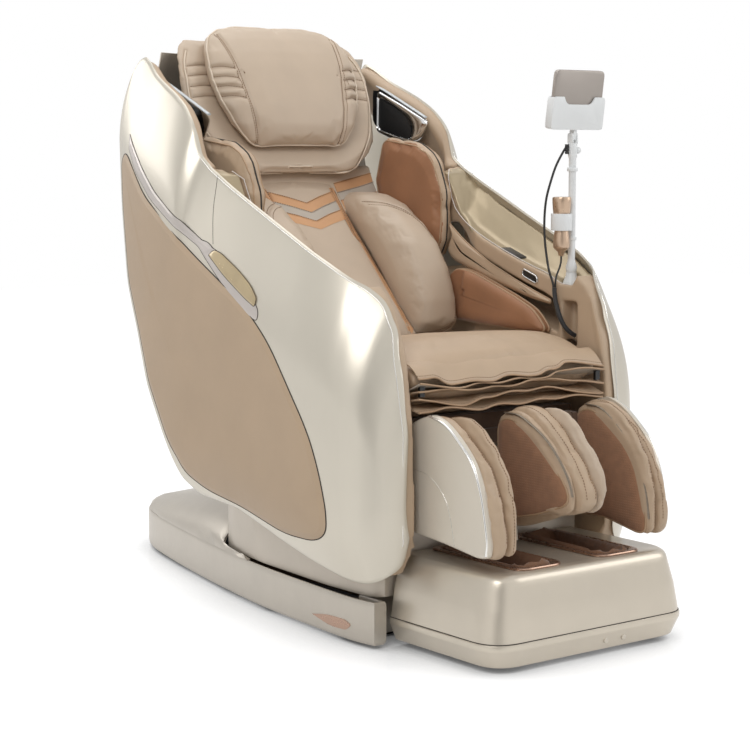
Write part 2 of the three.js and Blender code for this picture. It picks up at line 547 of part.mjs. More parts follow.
// Airbag pads of the hand channel: a thin one under the ceiling, a thick one on the floor and the seat side.
const LOWER_PAD_THICK = 26;
const padTop = y => channelFloor(y) + LOWER_PAD_THICK;
const SIDE_PAD = { low: INNER_X - 23, bottom: 603 };
const UPPER_PAD_Y = [-370, -362, -330, -270, -200, -130, -68, -60];
addPair('hand_pad_upper', softBody('y', UPPER_PAD_Y.map((y, i) => {
  const end = i === 0 || i === UPPER_PAD_Y.length - 1 ? 6 : 0;
  return { at: y, a: [INNER_X - 3 + end, 348 - end], b: [rimZ(y) - UPPER_LIP - 13 + end / 2, rimZ(y) - UPPER_LIP - GAP] };
}), 12, 0.4), taupeLeather);
const LOWER_PAD_Y = [-370, -362, -200, -38, -30];
const lowerPadEnd = (i, by) => (i === 0 || i === LOWER_PAD_Y.length - 1 ? by : 0);
const lowerPadFloor = softBody('y', LOWER_PAD_Y.map((y, i) => ({
  at: y, a: [246 + lowerPadEnd(i, 8), 352 - lowerPadEnd(i, 8)],
  b: [channelFloor(y) + GAP, padTop(y) - lowerPadEnd(i, 8)],
})), 12, 0.45);
const lowerPadSide = softBody('y', LOWER_PAD_Y.map((y, i) => ({
  at: y, a: [SIDE_PAD.low + lowerPadEnd(i, 3), INNER_X - GAP],
  b: [SIDE_PAD.bottom + lowerPadEnd(i, 3), padTop(y) - 4 - lowerPadEnd(i, 6)],
})), 10, 0.45);
addPair('hand_pad_lower', join(lowerPadFloor, lowerPadSide), brownFabric);

// ---------------------------------------------------------------- moving body: lower cover, seat
const LOWER_STATIONS = [-452, -440, -420, -300, -43, 100, LOWER_REAR_Y];
const LOWER_WALL = 6;
const LOWER_BOTTOM_Z = LEDGE_Z + 3;
function lowerOutline(inset) {
  const right = LOWER_STATIONS.map(y => [lowerHalf(y) - inset,
    Math.min(Math.max(y, -452 + inset), LOWER_REAR_Y - inset)]);
  return [...right, ...right.slice().reverse().map(([x, y]) => [-x, y])];
}
const LOWER_TOP_Z = 300;             // its rear, behind the arms
const lowerSlope = prism('x', [[-520, 136], [-454, 141], [-363, 161], [-240, 190], [-80, 232], [64, 252],
  [74, LOWER_TOP_Z + 5], [74, 500], [-520, 500]], -400, 400);
const KICK_TOP_Z = 372;              // front panel below the leg rest hinge
add('lower_cover', join(
  cut(prism('z', lowerOutline(0), LOWER_BOTTOM_Z, LOWER_TOP_Z, [lowerOutline(LOWER_WALL)]), lowerSlope),
  box(-247, 247, -452, -452 + LOWER_WALL, 120, KICK_TOP_Z)), champagneLight);

// Seat frame: runners on the base rails, posts, top rails, outriggers to the arms and both hinges' pins.
const RUNNER_Z = RAIL_TOP_Z + GAP;
const RUNNER_TOP = 110;
const SEAT_FRONT_Y = -478;
const runnerIn = RAIL_IN + 4, runnerOut = RAIL_OUT - 4;
const SEAT_PAN_Z = 452;
const BACK_LUG_X = [208, 224];       // plates that hold the backrest pins
const LEG_LUG_X = [160, 173];        // plates that hold the leg rest pins
const bothSides = make => [make(1), make(-1)];
const sided = (side, x0, x1) => (side > 0 ? [x0, x1] : [-x1, -x0]);
const legLug = [[SEAT_FRONT_Y + 2, SEAT_RAIL_Z - 36], [SEAT_FRONT_Y + 2, SEAT_RAIL_Z], [LEG_PIVOT[0] + 12, LEG_PIVOT[1] + 16],
  [LEG_PIVOT[0] - 14, LEG_PIVOT[1] + 14], [LEG_PIVOT[0] - 16, LEG_PIVOT[1] - 10], [LEG_PIVOT[0], LEG_PIVOT[1] - 20]];
const backLug = [[BACK_PIVOT[0] - 34, SEAT_RAIL_Z - 2], [BACK_PIVOT[0] + 34, SEAT_RAIL_Z - 2],
  [BACK_PIVOT[0] + 16, BACK_PIVOT[1] + 18], [BACK_PIVOT[0] - 16, BACK_PIVOT[1] + 18]];
const RUNNER_REAR_Y = LOWER_REAR_Y - LOWER_WALL - GAP;
const LOW_CROSS_Y = [-300, -270];
const lowCrossReach = THREE.MathUtils.mapLinear(LOW_CROSS_Y[1], -300, -43, lowerHalf(-300), lowerHalf(-43))
  - LOWER_WALL - 0.5;
const seatFrame = join(
  ...bothSides(side => box(...sided(side, runnerIn, runnerOut), FRAME_FRONT_Y + 4, RUNNER_REAR_Y, RUNNER_Z, RUNNER_TOP)),
  ...bothSides(side => box(...sided(side, runnerIn, runnerOut), -384, -344, RUNNER_TOP - 2, SEAT_RAIL_Z - 30)),
  ...bothSides(side => box(...sided(side, runnerIn, runnerOut), 10, 50, RUNNER_TOP - 2, SEAT_RAIL_Z - 30)),
  ...bothSides(side => box(...sided(side, runnerIn, runnerOut), SEAT_FRONT_Y, 56, SEAT_RAIL_Z - 36, SEAT_RAIL_Z)),
  ...bothSides(side => prism('x', legLug, ...sided(side, ...LEG_LUG_X))),
  ...bothSides(side => barX(PIN_RADIUS, ...sided(side, LEG_LUG_X[0] - 22, LEG_LUG_X[0] + 2), ...LEG_PIVOT)),
  ...bothSides(side => prism('x', backLug, ...sided(side, ...BACK_LUG_X))),
  ...bothSides(side => barX(PIN_RADIUS, ...sided(side, BACK_LUG_X[0] - 26, BACK_LUG_X[0] + 2), ...BACK_PIVOT)),
  box(-214, 214, SEAT_FRONT_Y, SEAT_FRONT_Y + 30, SEAT_RAIL_Z - 30, SEAT_RAIL_Z),
  box(-214, 214, 30, 56, SEAT_RAIL_Z - 36, SEAT_RAIL_Z - 6),
  box(-(INNER_X - GAP), INNER_X - GAP, -384, -350, SEAT_RAIL_Z - 30, SEAT_RAIL_Z),
  box(-(REAR_INNER_X - GAP), REAR_INNER_X - GAP, 8, 40, SEAT_RAIL_Z - 36, SEAT_RAIL_Z - 6),
  box(-lowCrossReach, lowCrossReach, ...LOW_CROSS_Y, RUNNER_TOP - 8, 132),
  box(-214, 214, -470, -150, SEAT_RAIL_Z - 2, SEAT_PAN_Z),
);
add('seat_frame', seatFrame, steel);

// Seat cushion: crowned, with a nose that thins out over the apron.
const SEAT_RINGS = [
  [-150, -12, 474, 556], [-166, -2, 458, 570], [-240, 0, SEAT_PAN_Z, 582], [-320, 0, SEAT_PAN_Z, 589],
  [-390, 0, SEAT_PAN_Z, 594], [-440, 0, SEAT_PAN_Z, 591], [-456, 0, 486, 583], [-472, 0, 492, 575],
  [-486, 0, 498, 568], [-506, -1, 511, 556], [-518, -4, 522, 545],
];
add('seat_cushion', softBody('y', SEAT_RINGS.map(([y, wider, low, high]) => (
  { at: y, a: [-SEAT_HALF - wider, SEAT_HALF + wider], b: [low + GAP, high] })), 28, 0.34,
(row, x, z, s) => (s > 0.2 ? z + 8 * (1 - (x / SEAT_HALF) ** 2) * (row > 0 && row < 10 ? 1 : 0.3) : z)), taupeLeather);

// Seat apron: three wavy flaps that close the gap between the seat and the leg rest.
const APRON_PROFILE = [
  [-472, 480], [-500, 480], [-530, 479], [-533, 484], [-508, 487], [-507, 490], [-534, 497], [-536, 502],
  [-510, 496], [-508, 500], [-522, 510], [-537, 523], [-536, 528], [-520, 517], [-506, 508], [-486, 498], [-472, 492],
];
add('seat_apron', loft(span(-SEAT_HALF, SEAT_HALF, 15).map(x => APRON_PROFILE.map(([y, z]) => {
  const outerPart = 1 - smooth(-530, -508, y);
  const wave = Math.sin(x / 38 + z * 0.9) + 0.5 * Math.sin(x / 19 + z * 2.1);
  return vec(x, y + 1.2 * wave * outerPart, z + 1.5 * Math.sin(x / 29 + (z > 505 ? 2 : 0.5)) * outerPart);
}))), taupeLeather);

// ---------------------------------------------------------------- backrest
const backFront = curve([
  [540, -120], [562, -105], [671, 5], [765, 100], [871, 205], [925, 240], [1000, 265], [1100, 300], [1200, 345],
]);
// Rings of the head pad: height, half width, front and rear.
const HEAD_RINGS = [
  [928, 139, 208, 234], [944, 172, 214, 256], [975, 222, 240, 282], [1005, 250, 262, 306], [1050, 262, 286, 328],
  [1100, 266, 304, 342], [1150, 266, 324, 352], [1195, 258, 346, 372], [1222, 244, 362, 386], [1236, 224, 374, 392],
];
const headRear = z => {
  const i = HEAD_RINGS.findIndex((ring, n) => z <= HEAD_RINGS[n + 1][0]);
  const [low, high] = [HEAD_RINGS[i], HEAD_RINGS[i + 1]];
  return THREE.MathUtils.mapLinear(z, low[0], high[0], low[3], high[3]);
};
const RAIL_PATH = [[0, 450], [34, 560], [100, 671], [195, 765], [294, 871], [330, 930], [352, 1000], [370, 1100], [376, 1165]];
const BACK_RAIL_X = [CARRIAGE_HALF + CARRIAGE_GAP, CARRIAGE_HALF + CARRIAGE_GAP + 24];
const BACK_RAIL_HALF = 17;
function stripAlong(path, half) {
  const left = [], right = [];
  path.forEach(([y, z], i) => {
    const [y0, z0] = path[Math.max(0, i - 1)], [y1, z1] = path[Math.min(path.length - 1, i + 1)];
    const length = Math.hypot(y1 - y0, z1 - z0);
    const ny = -(z1 - z0) / length * half, nz = (y1 - y0) / length * half;
    left.push([y + ny, z + nz]);
    right.push([y - ny, z - nz]);
  });
  return [...left, ...right.reverse()];
}
// Rear cover: follows the shells' rear outline between them and wraps over their ends a little.
const COVER_PATH = [
  [399, 1202], [412, 1162], [421, 1100], [427, 1026], [420, 930], [404, 850], [368, 700], [326, 620], [286, 555],
  [252, 496], [232, 444],
];
const coverHalf = z => 310 - 26 * smooth(960, 1110, z);
const coverDrop = s => 46 * Math.max(0, (Math.abs(s) - 0.5) / 0.5) ** 2;
const COVER_ACROSS = [-1, -0.88, -0.74, -0.58, -0.4, 0, 0.4, 0.58, 0.74, 0.88, 1];
const coverBand = (low, high) => slab(span(0, COVER_PATH.length - 1, COVER_PATH.length), COVER_ACROSS,
  ...[low, high].map(depth => (i, s) => {
    const [y, z] = COVER_PATH[i];
    return vec(s * coverHalf(z), y - depth - coverDrop(s), z);
  }));
add('back_shell', coverBand(0, BACK_WALL), champagne);
const coverClear = coverBand(-120, BACK_WALL + GAP);
const backHub = side => barX(HUB_RADIUS, ...sided(side, BACK_LUG_X[0] - 24, BACK_LUG_X[0] - 2), ...BACK_PIVOT, 18);
const hubArm = side => prism('x', [[-14, 440], [16, 440], [58, 560], [24, 572]],
  ...sided(side, BACK_LUG_X[0] - 24, BACK_LUG_X[0] - 2));
const backCross = (y, z, h) => box(-(BACK_LUG_X[0] - 2), BACK_LUG_X[0] - 2, y - 9, y + 9, z - h / 2, z + h / 2);
const HEAD_BAR = { z: [1140, 1165], rear: 384 };
const backFrame = cut(join(
  ...bothSides(side => prism('x', stripAlong(RAIL_PATH.slice(1), BACK_RAIL_HALF), ...sided(side, ...BACK_RAIL_X))),
  ...bothSides(backHub),
  ...bothSides(hubArm),
  backCross(46, 572, 26),
  box(-BACK_RAIL_X[1], BACK_RAIL_X[1], 340, 368, 985, 1010),
  box(-BACK_RAIL_X[1], BACK_RAIL_X[1], headRear(HEAD_BAR.z[1]) + GAP, HEAD_BAR.rear, ...HEAD_BAR.z),
  ...bothSides(side => box(...sided(side, BACK_RAIL_X[0], BACK_RAIL_X[1]), 356, 440, 990, 1010)),
  ...bothSides(side => box(...sided(side, BACK_RAIL_X[0], BACK_RAIL_X[1]), 60, 360, 598, 616)),
), coverClear, ...bothSides(side => barX(PIN_RADIUS + PIN_CLEARANCE, ...sided(side, BACK_LUG_X[0] - 40, BACK_LUG_X[0] + 10), ...BACK_PIVOT)));
add('back_frame', backFrame, steel);

// Kneading carriage that rides between the rails along their straight stretch, with its turning shaft.
const CARRIAGE = { y: 150, z: 720, slope: Math.atan2(765 - 671, 195 - 100) };
const alongBack = new THREE.Matrix4().makeRotationX(CARRIAGE.slope).setPosition(0, CARRIAGE.y, CARRIAGE.z);
const placeOnBack = geometry => outward(geometry.clone().applyMatrix4(alongBack));
// In the carriage's own axes +Y runs up the back and +Z points forward out of it.
const SHAFT = { up: 30, out: 10, radius: 7 };
const carriageBody = join(
  box(-CARRIAGE_HALF, CARRIAGE_HALF, -62, 62, -74, -20),
  ...bothSides(side => box(...sided(side, 104, 112), 14, 46, -22, 22)),
  box(-40, 40, -40, 20, -21, -4),
  ...bothSides(side => box(...sided(side, CARRIAGE_HALF - 1, BACK_RAIL_X[0] - GAP), -50, 50, -16, 16)),
  ...bothSides(side => box(...sided(side, CARRIAGE_HALF - 8, CARRIAGE_HALF), -50, 50, -21, 16)),
);
add('massage_carriage', placeOnBack(cut(carriageBody,
  barX(SHAFT.radius + PIN_CLEARANCE, -116, 116, SHAFT.up, SHAFT.out))), steel);
const lobe = (x, tilt) => {
  const geometry = new THREE.CylinderGeometry(25, 25, 20, 14);
  geometry.rotateZ(Math.PI / 2 + tilt);
  geometry.translate(x, SHAFT.up, SHAFT.out);
  return outward(geometry);
};
add('kneading_shaft', placeOnBack(join(barX(SHAFT.radius, -112, 112, SHAFT.up, SHAFT.out, 16),
  lobe(-62, 0.2), lobe(62, -0.2))), whitePlastic);

// Cushions of the backrest.
const BACK_Z = [562, 580, 620, 671, 720, 765, 820, 871, 900, 914];
const BACK_HALF = 112;               // middle back cushion
const SHOULDER_X = [237, 276];       // shoulder pads, beside the back cushions
add('back_cushion', softBody('z', BACK_Z.map((z, i) => {
  const end = i === 0 || i === BACK_Z.length - 1 ? 10 : 0;
  return { at: z, a: [-BACK_HALF + end / 3, BACK_HALF - end / 3], b: [backFront(z) + end, backFront(z) + 38 - end / 2] };
}), 20, 0.3), taupeLeather);
// The two wedge cushions fill the space between the middle one and the shoulder pads, down to the rails.
const railFront = (() => {
  const path = RAIL_PATH.slice(1);
  const face = stripAlong(path, BACK_RAIL_HALF).slice(0, path.length);
  return z => {
    const i = Math.max(0, face.findIndex((p, n) => n + 1 < face.length && z <= face[n + 1][1]));
    return THREE.MathUtils.mapLinear(Math.max(z, face[0][1]), face[i][1], face[i + 1][1], face[i][0], face[i + 1][0]);
  };
})();
const LUMBAR_X = [BACK_HALF + GAP, SHOULDER_X[0] - GAP];
const lumbarFront = curve([[560, -50], [580, -84], [612, -98], [680, -84], [757, -48], [820, 20], [862, 92], [884, 150]]);
const LUMBAR_Z = [560, 568, 600, 650, 681.5, 720, 776.8, 820, 860, 884];
addPair('lumbar_cushion', softBody('z', LUMBAR_Z.map((z, i) => {
  const end = i === 0 || i === LUMBAR_Z.length - 1 ? 15 : 0;
  return { at: z, a: [LUMBAR_X[0] + end, LUMBAR_X[1] - end], b: [lumbarFront(z), railFront(z) - GAP] };
}), 18, 0.55), taupeLeather);
add('head_pad', softBody('z', HEAD_RINGS.map(([z, half, front, back]) => (
  { at: z, a: [-half, half], b: [front, back] })), 22, 0.4,
(row, x, y) => y - 32 * (x / 266) ** 2), taupeLeather);

// Pillow: crowned, with a seam either side of its middle panel and four sewn channels on each side panel.
const pillowHalf = curve([[988, 118], [1000, 138], [1040, 168], [1099, 194], [1150, 204], [1200, 200], [1236, 184],
  [1256, 150], [1266, 104]]);
const pillowFront = curve([[988, 214], [1000, 204], [1040, 202], [1099, 218], [1150, 240], [1200, 268], [1236, 296],
  [1256, 316], [1266, 334]]);
const pillowBack = curve([[988, 236], [1000, 248], [1040, 272], [1099, 296], [1150, 316], [1200, 338], [1236, 354],
  [1256, 360], [1266, 358]]);
const seamX = z => THREE.MathUtils.mapLinear(z, 990, 1245, 112, 157);
const CHANNEL_Z = [1102, 1124, 1146, 1168];
function pillowPress(z, x, y, s) {
  if (s > -0.1) return y;
  const seam = 9 * Math.exp(-(((Math.abs(x) - seamX(z)) / 5) ** 2));
  const beyond = smooth(seamX(z), seamX(z) + 8, Math.abs(x));
  const channel = 5 * beyond * CHANNEL_Z.reduce((sum, at) => sum + Math.exp(-(((z - at) / 4.5) ** 2)), 0);
  return y + Math.min(seam + channel, 10);
}
const PILLOW_Z = [988, 1000, 1040, 1080, 1094, 1102, 1113, 1124, 1135, 1146, 1157, 1168, 1180, 1205, 1236, 1256, 1266];
add('pillow', softBody('z', PILLOW_Z.map(z => (
  { at: z, a: [-pillowHalf(z), pillowHalf(z)], b: [pillowFront(z), pillowBack(z)] })), 28, 0.5,
(row, x, y, s) => pillowPress(PILLOW_Z[row], x, y, s)), taupeLeather);

// A padded plate: its outline grows to full size a little in from each face.
function paddedPlate(outline, x0, x1, shrink = 0.94, edge = 6) {
  const points = rounded(outline, 0, 1);
  const centre = points.reduce((sum, p) => sum.add(p), new THREE.Vector2()).divideScalar(points.length);
  const ring = (x, size) => points.map(p => {
    const q = p.clone().sub(centre).multiplyScalar(size).add(centre);
    return vec(x, q.x, q.y);
  });
  return loft([ring(x0, shrink), ring(x0 + edge, 1), ring(x1 - edge, 1), ring(x1, shrink)]);
}
const SHOULDER_OUTLINE = [[220, 1018, 16], [60, 1000, 30], [-4, 930, 40], [-12, 850, 40], [-4, 750, 30], [40, 722, 30],
  [140, 760, 20], [256, 900, 20]];
addPair('shoulder_pad', paddedPlate(SHOULDER_OUTLINE, ...SHOULDER_X, 0.94, 9), brownFabric);

// ---------------------------------------------------------------- leg rest
const PLATE_OUTLINE = [
  [-498, 236, 6], [-498, 452, 10], [-530, 466, 12], [-566, 474, 14], [-606, 460, 20], [-666, 418, 30], [-706, 368, 30],
  [-724, 300, 20], [-731, 246, 10], [-726, 217, 10], [-700, 214, 10], [-603, 226, 10],
];
addPair('calf_plate', prism('x', rounded(PLATE_OUTLINE, 0, 2), CALF_HALF - 12, CALF_HALF), champagneLight);
const SIDE_PAD_OUTLINE = [
  [CALF_BACK_Y - GAP, 240, 6], [CALF_BACK_Y - GAP, 456, 8], [-530, 470, 12], [-570, 476, 14], [-616, 465, 20],
  [-684, 418, 30], [-728, 364, 30], [-748, 304, 20], [-756, 248, 10], [-742, 212, 10], [-700, 210, 10], [-603, 224, 10],
];
addPair('calf_side_pad', paddedPlate(SIDE_PAD_OUTLINE, CALF_HALF - 39, CALF_HALF - 12 - GAP, 0.96, 5), tanLeather);
const REAR_PAD_Y = CALF_BACK_Y - 12.5;
const FLAP_OUTLINE = [
  [REAR_PAD_Y, 244, 6], [REAR_PAD_Y, 452, 8], [-548, 468, 12], [-602, 477, 14], [-640, 469, 20], [-678, 440, 24],
  [-718, 400, 30], [-746, 344, 30], [-754, 280, 20], [-751, 218, 10], [-720, 212, 10], [-620, 228, 10],
];
const CENTRE_FLAP_OUTLINE = [
  [REAR_PAD_Y, 250, 6], [REAR_PAD_Y, 452, 8], [-560, 474, 12], [-606, 470, 14], [-664, 436, 20], [-712, 392, 30],
  [-746, 340, 30], [-752, 300, 20], [-738, 278, 14], [-660, 262, 10], [-585, 246, 10],
];
addPair('calf_airbag_outer', paddedPlate(FLAP_OUTLINE, CALF_HALF - 63, CALF_HALF - 47, 0.97, 5), tanLeather);
// The flap on the sitter's left of the divider stands higher than the divider's rim.
const HIGH_FLAP_OUTLINE = [
  [REAR_PAD_Y, 250, 6], [REAR_PAD_Y, 452, 8], [-548, 468, 12], [-602, 478, 14], [-642, 479, 16], [-672, 466, 20],
  [-718, 427, 30], [-752, 382, 30], [-774, 344, 24], [-770, 308, 18], [-750, 276, 12], [-660, 262, 10], [-585, 246, 10],
];
add('calf_airbag_inner_left', paddedPlate(HIGH_FLAP_OUTLINE, 23, 38, 0.97, 5), brownFabric);
add('calf_airbag_inner_right', mirrored(paddedPlate(CENTRE_FLAP_OUTLINE, 23, 38, 0.97, 5)), brownFabric);
const DIVIDER_OUTLINE = [
  [REAR_PAD_Y, 226, 6], [REAR_PAD_Y, 452, 8], [-540, 472, 12], [-586, 482, 16], [-640, 466, 20], [-704, 412, 30],
  [-750, 356, 30], [-768, 312, 20], [-760, 288, 14], [-730, 276, 14], [-640, 250, 10], [-560, 224, 10],
];
add('calf_divider', paddedPlate(DIVIDER_OUTLINE, -22, 22, 0.95, 9), tanLeather);
const CALF_PLATE_TOP_Z = 384;
add('calf_back_pad', softBody('z', [246, 252, CALF_PLATE_TOP_Z - 14, CALF_PLATE_TOP_Z - 8].map((z, i) => {
  const end = i === 0 || i === 3 ? 3 : 0;
  return { at: z, a: [-198 + end, 198 - end], b: [REAR_PAD_Y + GAP + end, CALF_BACK_Y - GAP] };
}), 20, 0.2), taupeLeather);
// Calf frame: back plate, hinge arms, and a guide on each side for the foot box posts.
const CALF_ARM_X = [140, 158];
const GUIDE = { x: [182, 206], y: [-493, -477], z: [262, 322], wall: 7, play: 0.5 };
const calfArm = [[CALF_BACK_Y, CALF_PLATE_TOP_Z - 4], [-498, CALF_PLATE_TOP_Z - 4], [-498, 424],
  [LEG_PIVOT[0] + 4, LEG_PIVOT[1] + 6], [LEG_PIVOT[0] - 12, LEG_PIVOT[1]]];
const guideHole = side => box(...sided(side, GUIDE.x[0] - GUIDE.play, GUIDE.x[1] + GUIDE.play),
  GUIDE.y[0] - GUIDE.play, GUIDE.y[1] + GUIDE.play, GUIDE.z[0] - 5, GUIDE.z[1] + 5);
const calfFrame = cut(join(
  box(-(CALF_HALF - 12 - GAP), CALF_HALF - 12 - GAP, CALF_BACK_Y, -498, 240, CALF_PLATE_TOP_Z),
  ...bothSides(side => prism('x', calfArm, ...sided(side, ...CALF_ARM_X))),
  ...bothSides(side => barX(HUB_RADIUS - 3, ...sided(side, ...CALF_ARM_X), ...LEG_PIVOT, 18)),
  ...bothSides(side => box(...sided(side, GUIDE.x[0] - GUIDE.wall, GUIDE.x[1] + GUIDE.wall),
    -499, GUIDE.y[1] + GUIDE.wall, GUIDE.z[0], GUIDE.z[1])),
), ...bothSides(guideHole),
...bothSides(side => barX(PIN_RADIUS + PIN_CLEARANCE, ...sided(side, CALF_ARM_X[0] - 5, CALF_ARM_X[1] + 5), ...LEG_PIVOT)));
add('calf_frame', calfFrame, steel);

// Foot box: a shell open below, with a ledge, two well openings, shaft bearings and guide posts.
const BOX_REAR_Y = -462;
const BOX_WALL = 5;
const FOOT_BOX = [
  [12, 246, -766, 48], [46, 263, -779, 54], [50, 264, FRONT_Y, 55], [58, 264, FRONT_Y, 55], [62, 261, -777, 54],
  [120, 252, -770, 52], [172, 239, -760, 48], [181, 233, -754, 44], [186, 224, -745, 40],
];
const FOOT_BOX_INNER = [FOOT_BOX[0], FOOT_BOX[3], FOOT_BOX[5], FOOT_BOX[7]];
function boxRing(z, half, front, radius, inset) {
  const corners = [
    [half - inset, BOX_REAR_Y - inset, 3], [half - inset, front + inset, radius],
    [-half + inset, front + inset, radius], [-half + inset, BOX_REAR_Y - inset, 3],
  ];
  return rounded(corners, 0, 3).map(p => vec(p.x, p.y, z));
}
const boxOuter = loft(FOOT_BOX.map(([z, half, front, radius]) => boxRing(z, half, front, radius, 0)));
const boxInner = loft(FOOT_BOX_INNER.map(([z, half, front, radius], i) => (
  boxRing(i === 0 ? z - 8 : z, half, front, radius - 4, BOX_WALL))));
const WELL = { x: 105, half: 50, front: -728, rear: -477, rim: 11, wall: 3, floor: 92 };
const FOOT_TOP_Z = 186;
function wellOutline(grow) {
  return rounded([
    [WELL.x - WELL.half - grow, WELL.front - grow, 34], [WELL.x + WELL.half + grow, WELL.front - grow, 34],
    [WELL.x + WELL.half + grow, WELL.rear + grow, 20], [WELL.x - WELL.half - grow, WELL.rear + grow, 20],
  ], 0, 3);
}
const wellHole = side => prism('z', wellOutline(1).map(p => [p.x * side, p.y]), 150, 220);
const ROLLER = { y: -610, z: 60, shaft: 6, lobe: 24 };
const bearing = side => box(...sided(side, 196, 202), ROLLER.y - 20, ROLLER.y + 20, 30, FOOT_TOP_Z - 2);
const post = side => box(...sided(side, ...GUIDE.x), ...GUIDE.y, FOOT_TOP_Z - 3, 372);
add('foot_box', cut(join(cut(boxOuter, boxInner), ...bothSides(bearing), ...bothSides(post)),
  ...bothSides(wellHole), barX(ROLLER.shaft + PIN_CLEARANCE, -204, 204, ROLLER.y, ROLLER.z)), champagne);
const wellRim = prism('z', wellOutline(WELL.rim), FOOT_TOP_Z + GAP, FOOT_TOP_Z + 4.5);
const wellCup = prism('z', wellOutline(0), WELL.floor, FOOT_TOP_Z + 2);
const wellHollow = prism('z', wellOutline(-WELL.wall), WELL.floor + WELL.wall, FOOT_TOP_Z + 20);
addPair('foot_well', cut(join(wellRim, wellCup), wellHollow), roseGold);
const footLobe = x => barX(ROLLER.lobe, x - 9, x + 9, ROLLER.y, ROLLER.z, 10);
add('foot_roller_shaft', join(barX(ROLLER.shaft, -202, 202, ROLLER.y, ROLLER.z, 12),
  ...[-128, -82, 82, 128].map(footLobe)), whitePlastic);

// ---------------------------------------------------------------- tablet stand, wand and cords
const SOCKET_Z = SOCKET_SEAT_Z + GAP;
const POST = { radius: 8, top: 1004, tiltZ: 1012 };
const socketTop = SOCKET_Z + 26;
add('stand_socket', turned([[0, SOCKET_Z], [SOCKET_RADIUS, SOCKET_Z], [SOCKET_RADIUS - 2, SOCKET_Z + 8],
  [12, SOCKET_Z + 20], [12, socketTop], [0, socketTop]], STAND_X, STAND_Y, 16), whitePlastic);
const WAND_X = 275;
const CLIP = { z: [812, 848], inner: 18.5, outer: 23 };
const clipRing = (() => {
  const geometry = new THREE.LatheGeometry([[CLIP.inner, CLIP.z[0]], [CLIP.outer, CLIP.z[0]], [CLIP.outer, CLIP.z[1]],
    [CLIP.inner, CLIP.z[1]], [CLIP.inner, CLIP.z[0]]].map(p => new THREE.Vector2(...p)), 16);
  geometry.rotateX(Math.PI / 2);
  geometry.translate(WAND_X, STAND_Y, 0);
  return outward(geometry);
})();
const CHEEK_X = [4.8, 8];
const cheek = side => prism('x', rounded([[STAND_Y - 8, 996], [STAND_Y + 8, 996], [STAND_Y + 8, 1020], [STAND_Y - 8, 1020]], 5, 3),
  STAND_X + (side > 0 ? CHEEK_X[0] : -CHEEK_X[1]), STAND_X + (side > 0 ? CHEEK_X[1] : -CHEEK_X[0]));
add('stand_post', join(
  turned([[0, socketTop + GAP], [11, socketTop + GAP], [13, socketTop + 12], [9, socketTop + 24], [POST.radius, socketTop + 30],
    [POST.radius, 965], [10, 970], [10, 998], [0, 998]], STAND_X, STAND_Y, 12),
  clipRing,
  box(STAND_X - 9, STAND_X, STAND_Y - 5, STAND_Y + 5, CLIP.z[0] + 4, CLIP.z[1] - 4),
  cheek(1), cheek(-1), barX(2.5, STAND_X - 5, STAND_X + 5, STAND_Y, POST.tiltZ, 12),
), whitePlastic);
// Tablet and its pocket lean back a little about the pin.
const LEAN = THREE.MathUtils.degToRad(8);
const TABLET = { halfX: 70, halfY: 5.5, z: [22, 142] };
const HOLDER = { halfX: TABLET.halfX + 5, halfY: TABLET.halfY + 4.5, z: [TABLET.z[0] - 6, TABLET.z[1] - 56], wall: 3.5 };
const leaned = geometry => {
  const turnedBack = geometry.clone();
  turnedBack.rotateX(LEAN);
  turnedBack.translate(STAND_X, STAND_Y, POST.tiltZ);
  return outward(turnedBack);
};
const holderFace = grow => rounded([
  [-HOLDER.halfX + grow, HOLDER.z[0] + grow], [HOLDER.halfX - grow, HOLDER.z[0] + grow],
  [HOLDER.halfX - grow, HOLDER.z[1] + grow * 8], [-HOLDER.halfX + grow, HOLDER.z[1] + grow * 8],
], 8, 2);
const DIP = [HOLDER.halfX - 23, HOLDER.halfX - 39];
const dip = prism('y', rounded([[-DIP[0], HOLDER.z[1] + 12, 0], [-DIP[1], HOLDER.z[1] - 16, 10], [DIP[1], HOLDER.z[1] - 16, 10],
  [DIP[0], HOLDER.z[1] + 12, 0]], 0, 4), -HOLDER.halfY - 1, 0);
const tongue = prism('x', rounded([[-7, -8], [7, -8], [7, 18], [-7, 18]], 5, 3), -4.3, 4.3);
add('tablet_holder', leaned(cut(join(
  cut(prism('y', holderFace(0), -HOLDER.halfY, HOLDER.halfY),
    prism('y', holderFace(HOLDER.wall), -HOLDER.halfY + HOLDER.wall, HOLDER.halfY - HOLDER.wall), dip),
  tongue), barX(2.5 + 0.4, -6, 6, 0, 0))), whitePlastic);
add('tablet', leaned(prism('y', rounded([[-TABLET.halfX, TABLET.z[0]], [TABLET.halfX, TABLET.z[0]],
  [TABLET.halfX, TABLET.z[1]], [-TABLET.halfX, TABLET.z[1]]], 12, 4), -TABLET.halfY, TABLET.halfY)), tabletMetal);
const WAND_PROFILE = [[0, 757], [6, 757], [8, 766], [18, 776], [17.5, 790], [13.5, 826], [15, 838], [18.2, CLIP.z[1] + GAP],
  [20, 866], [20.5, 880], [16, 884], [0, 884]];
add('wand', turned(WAND_PROFILE, WAND_X, STAND_Y, 14), roseGold);

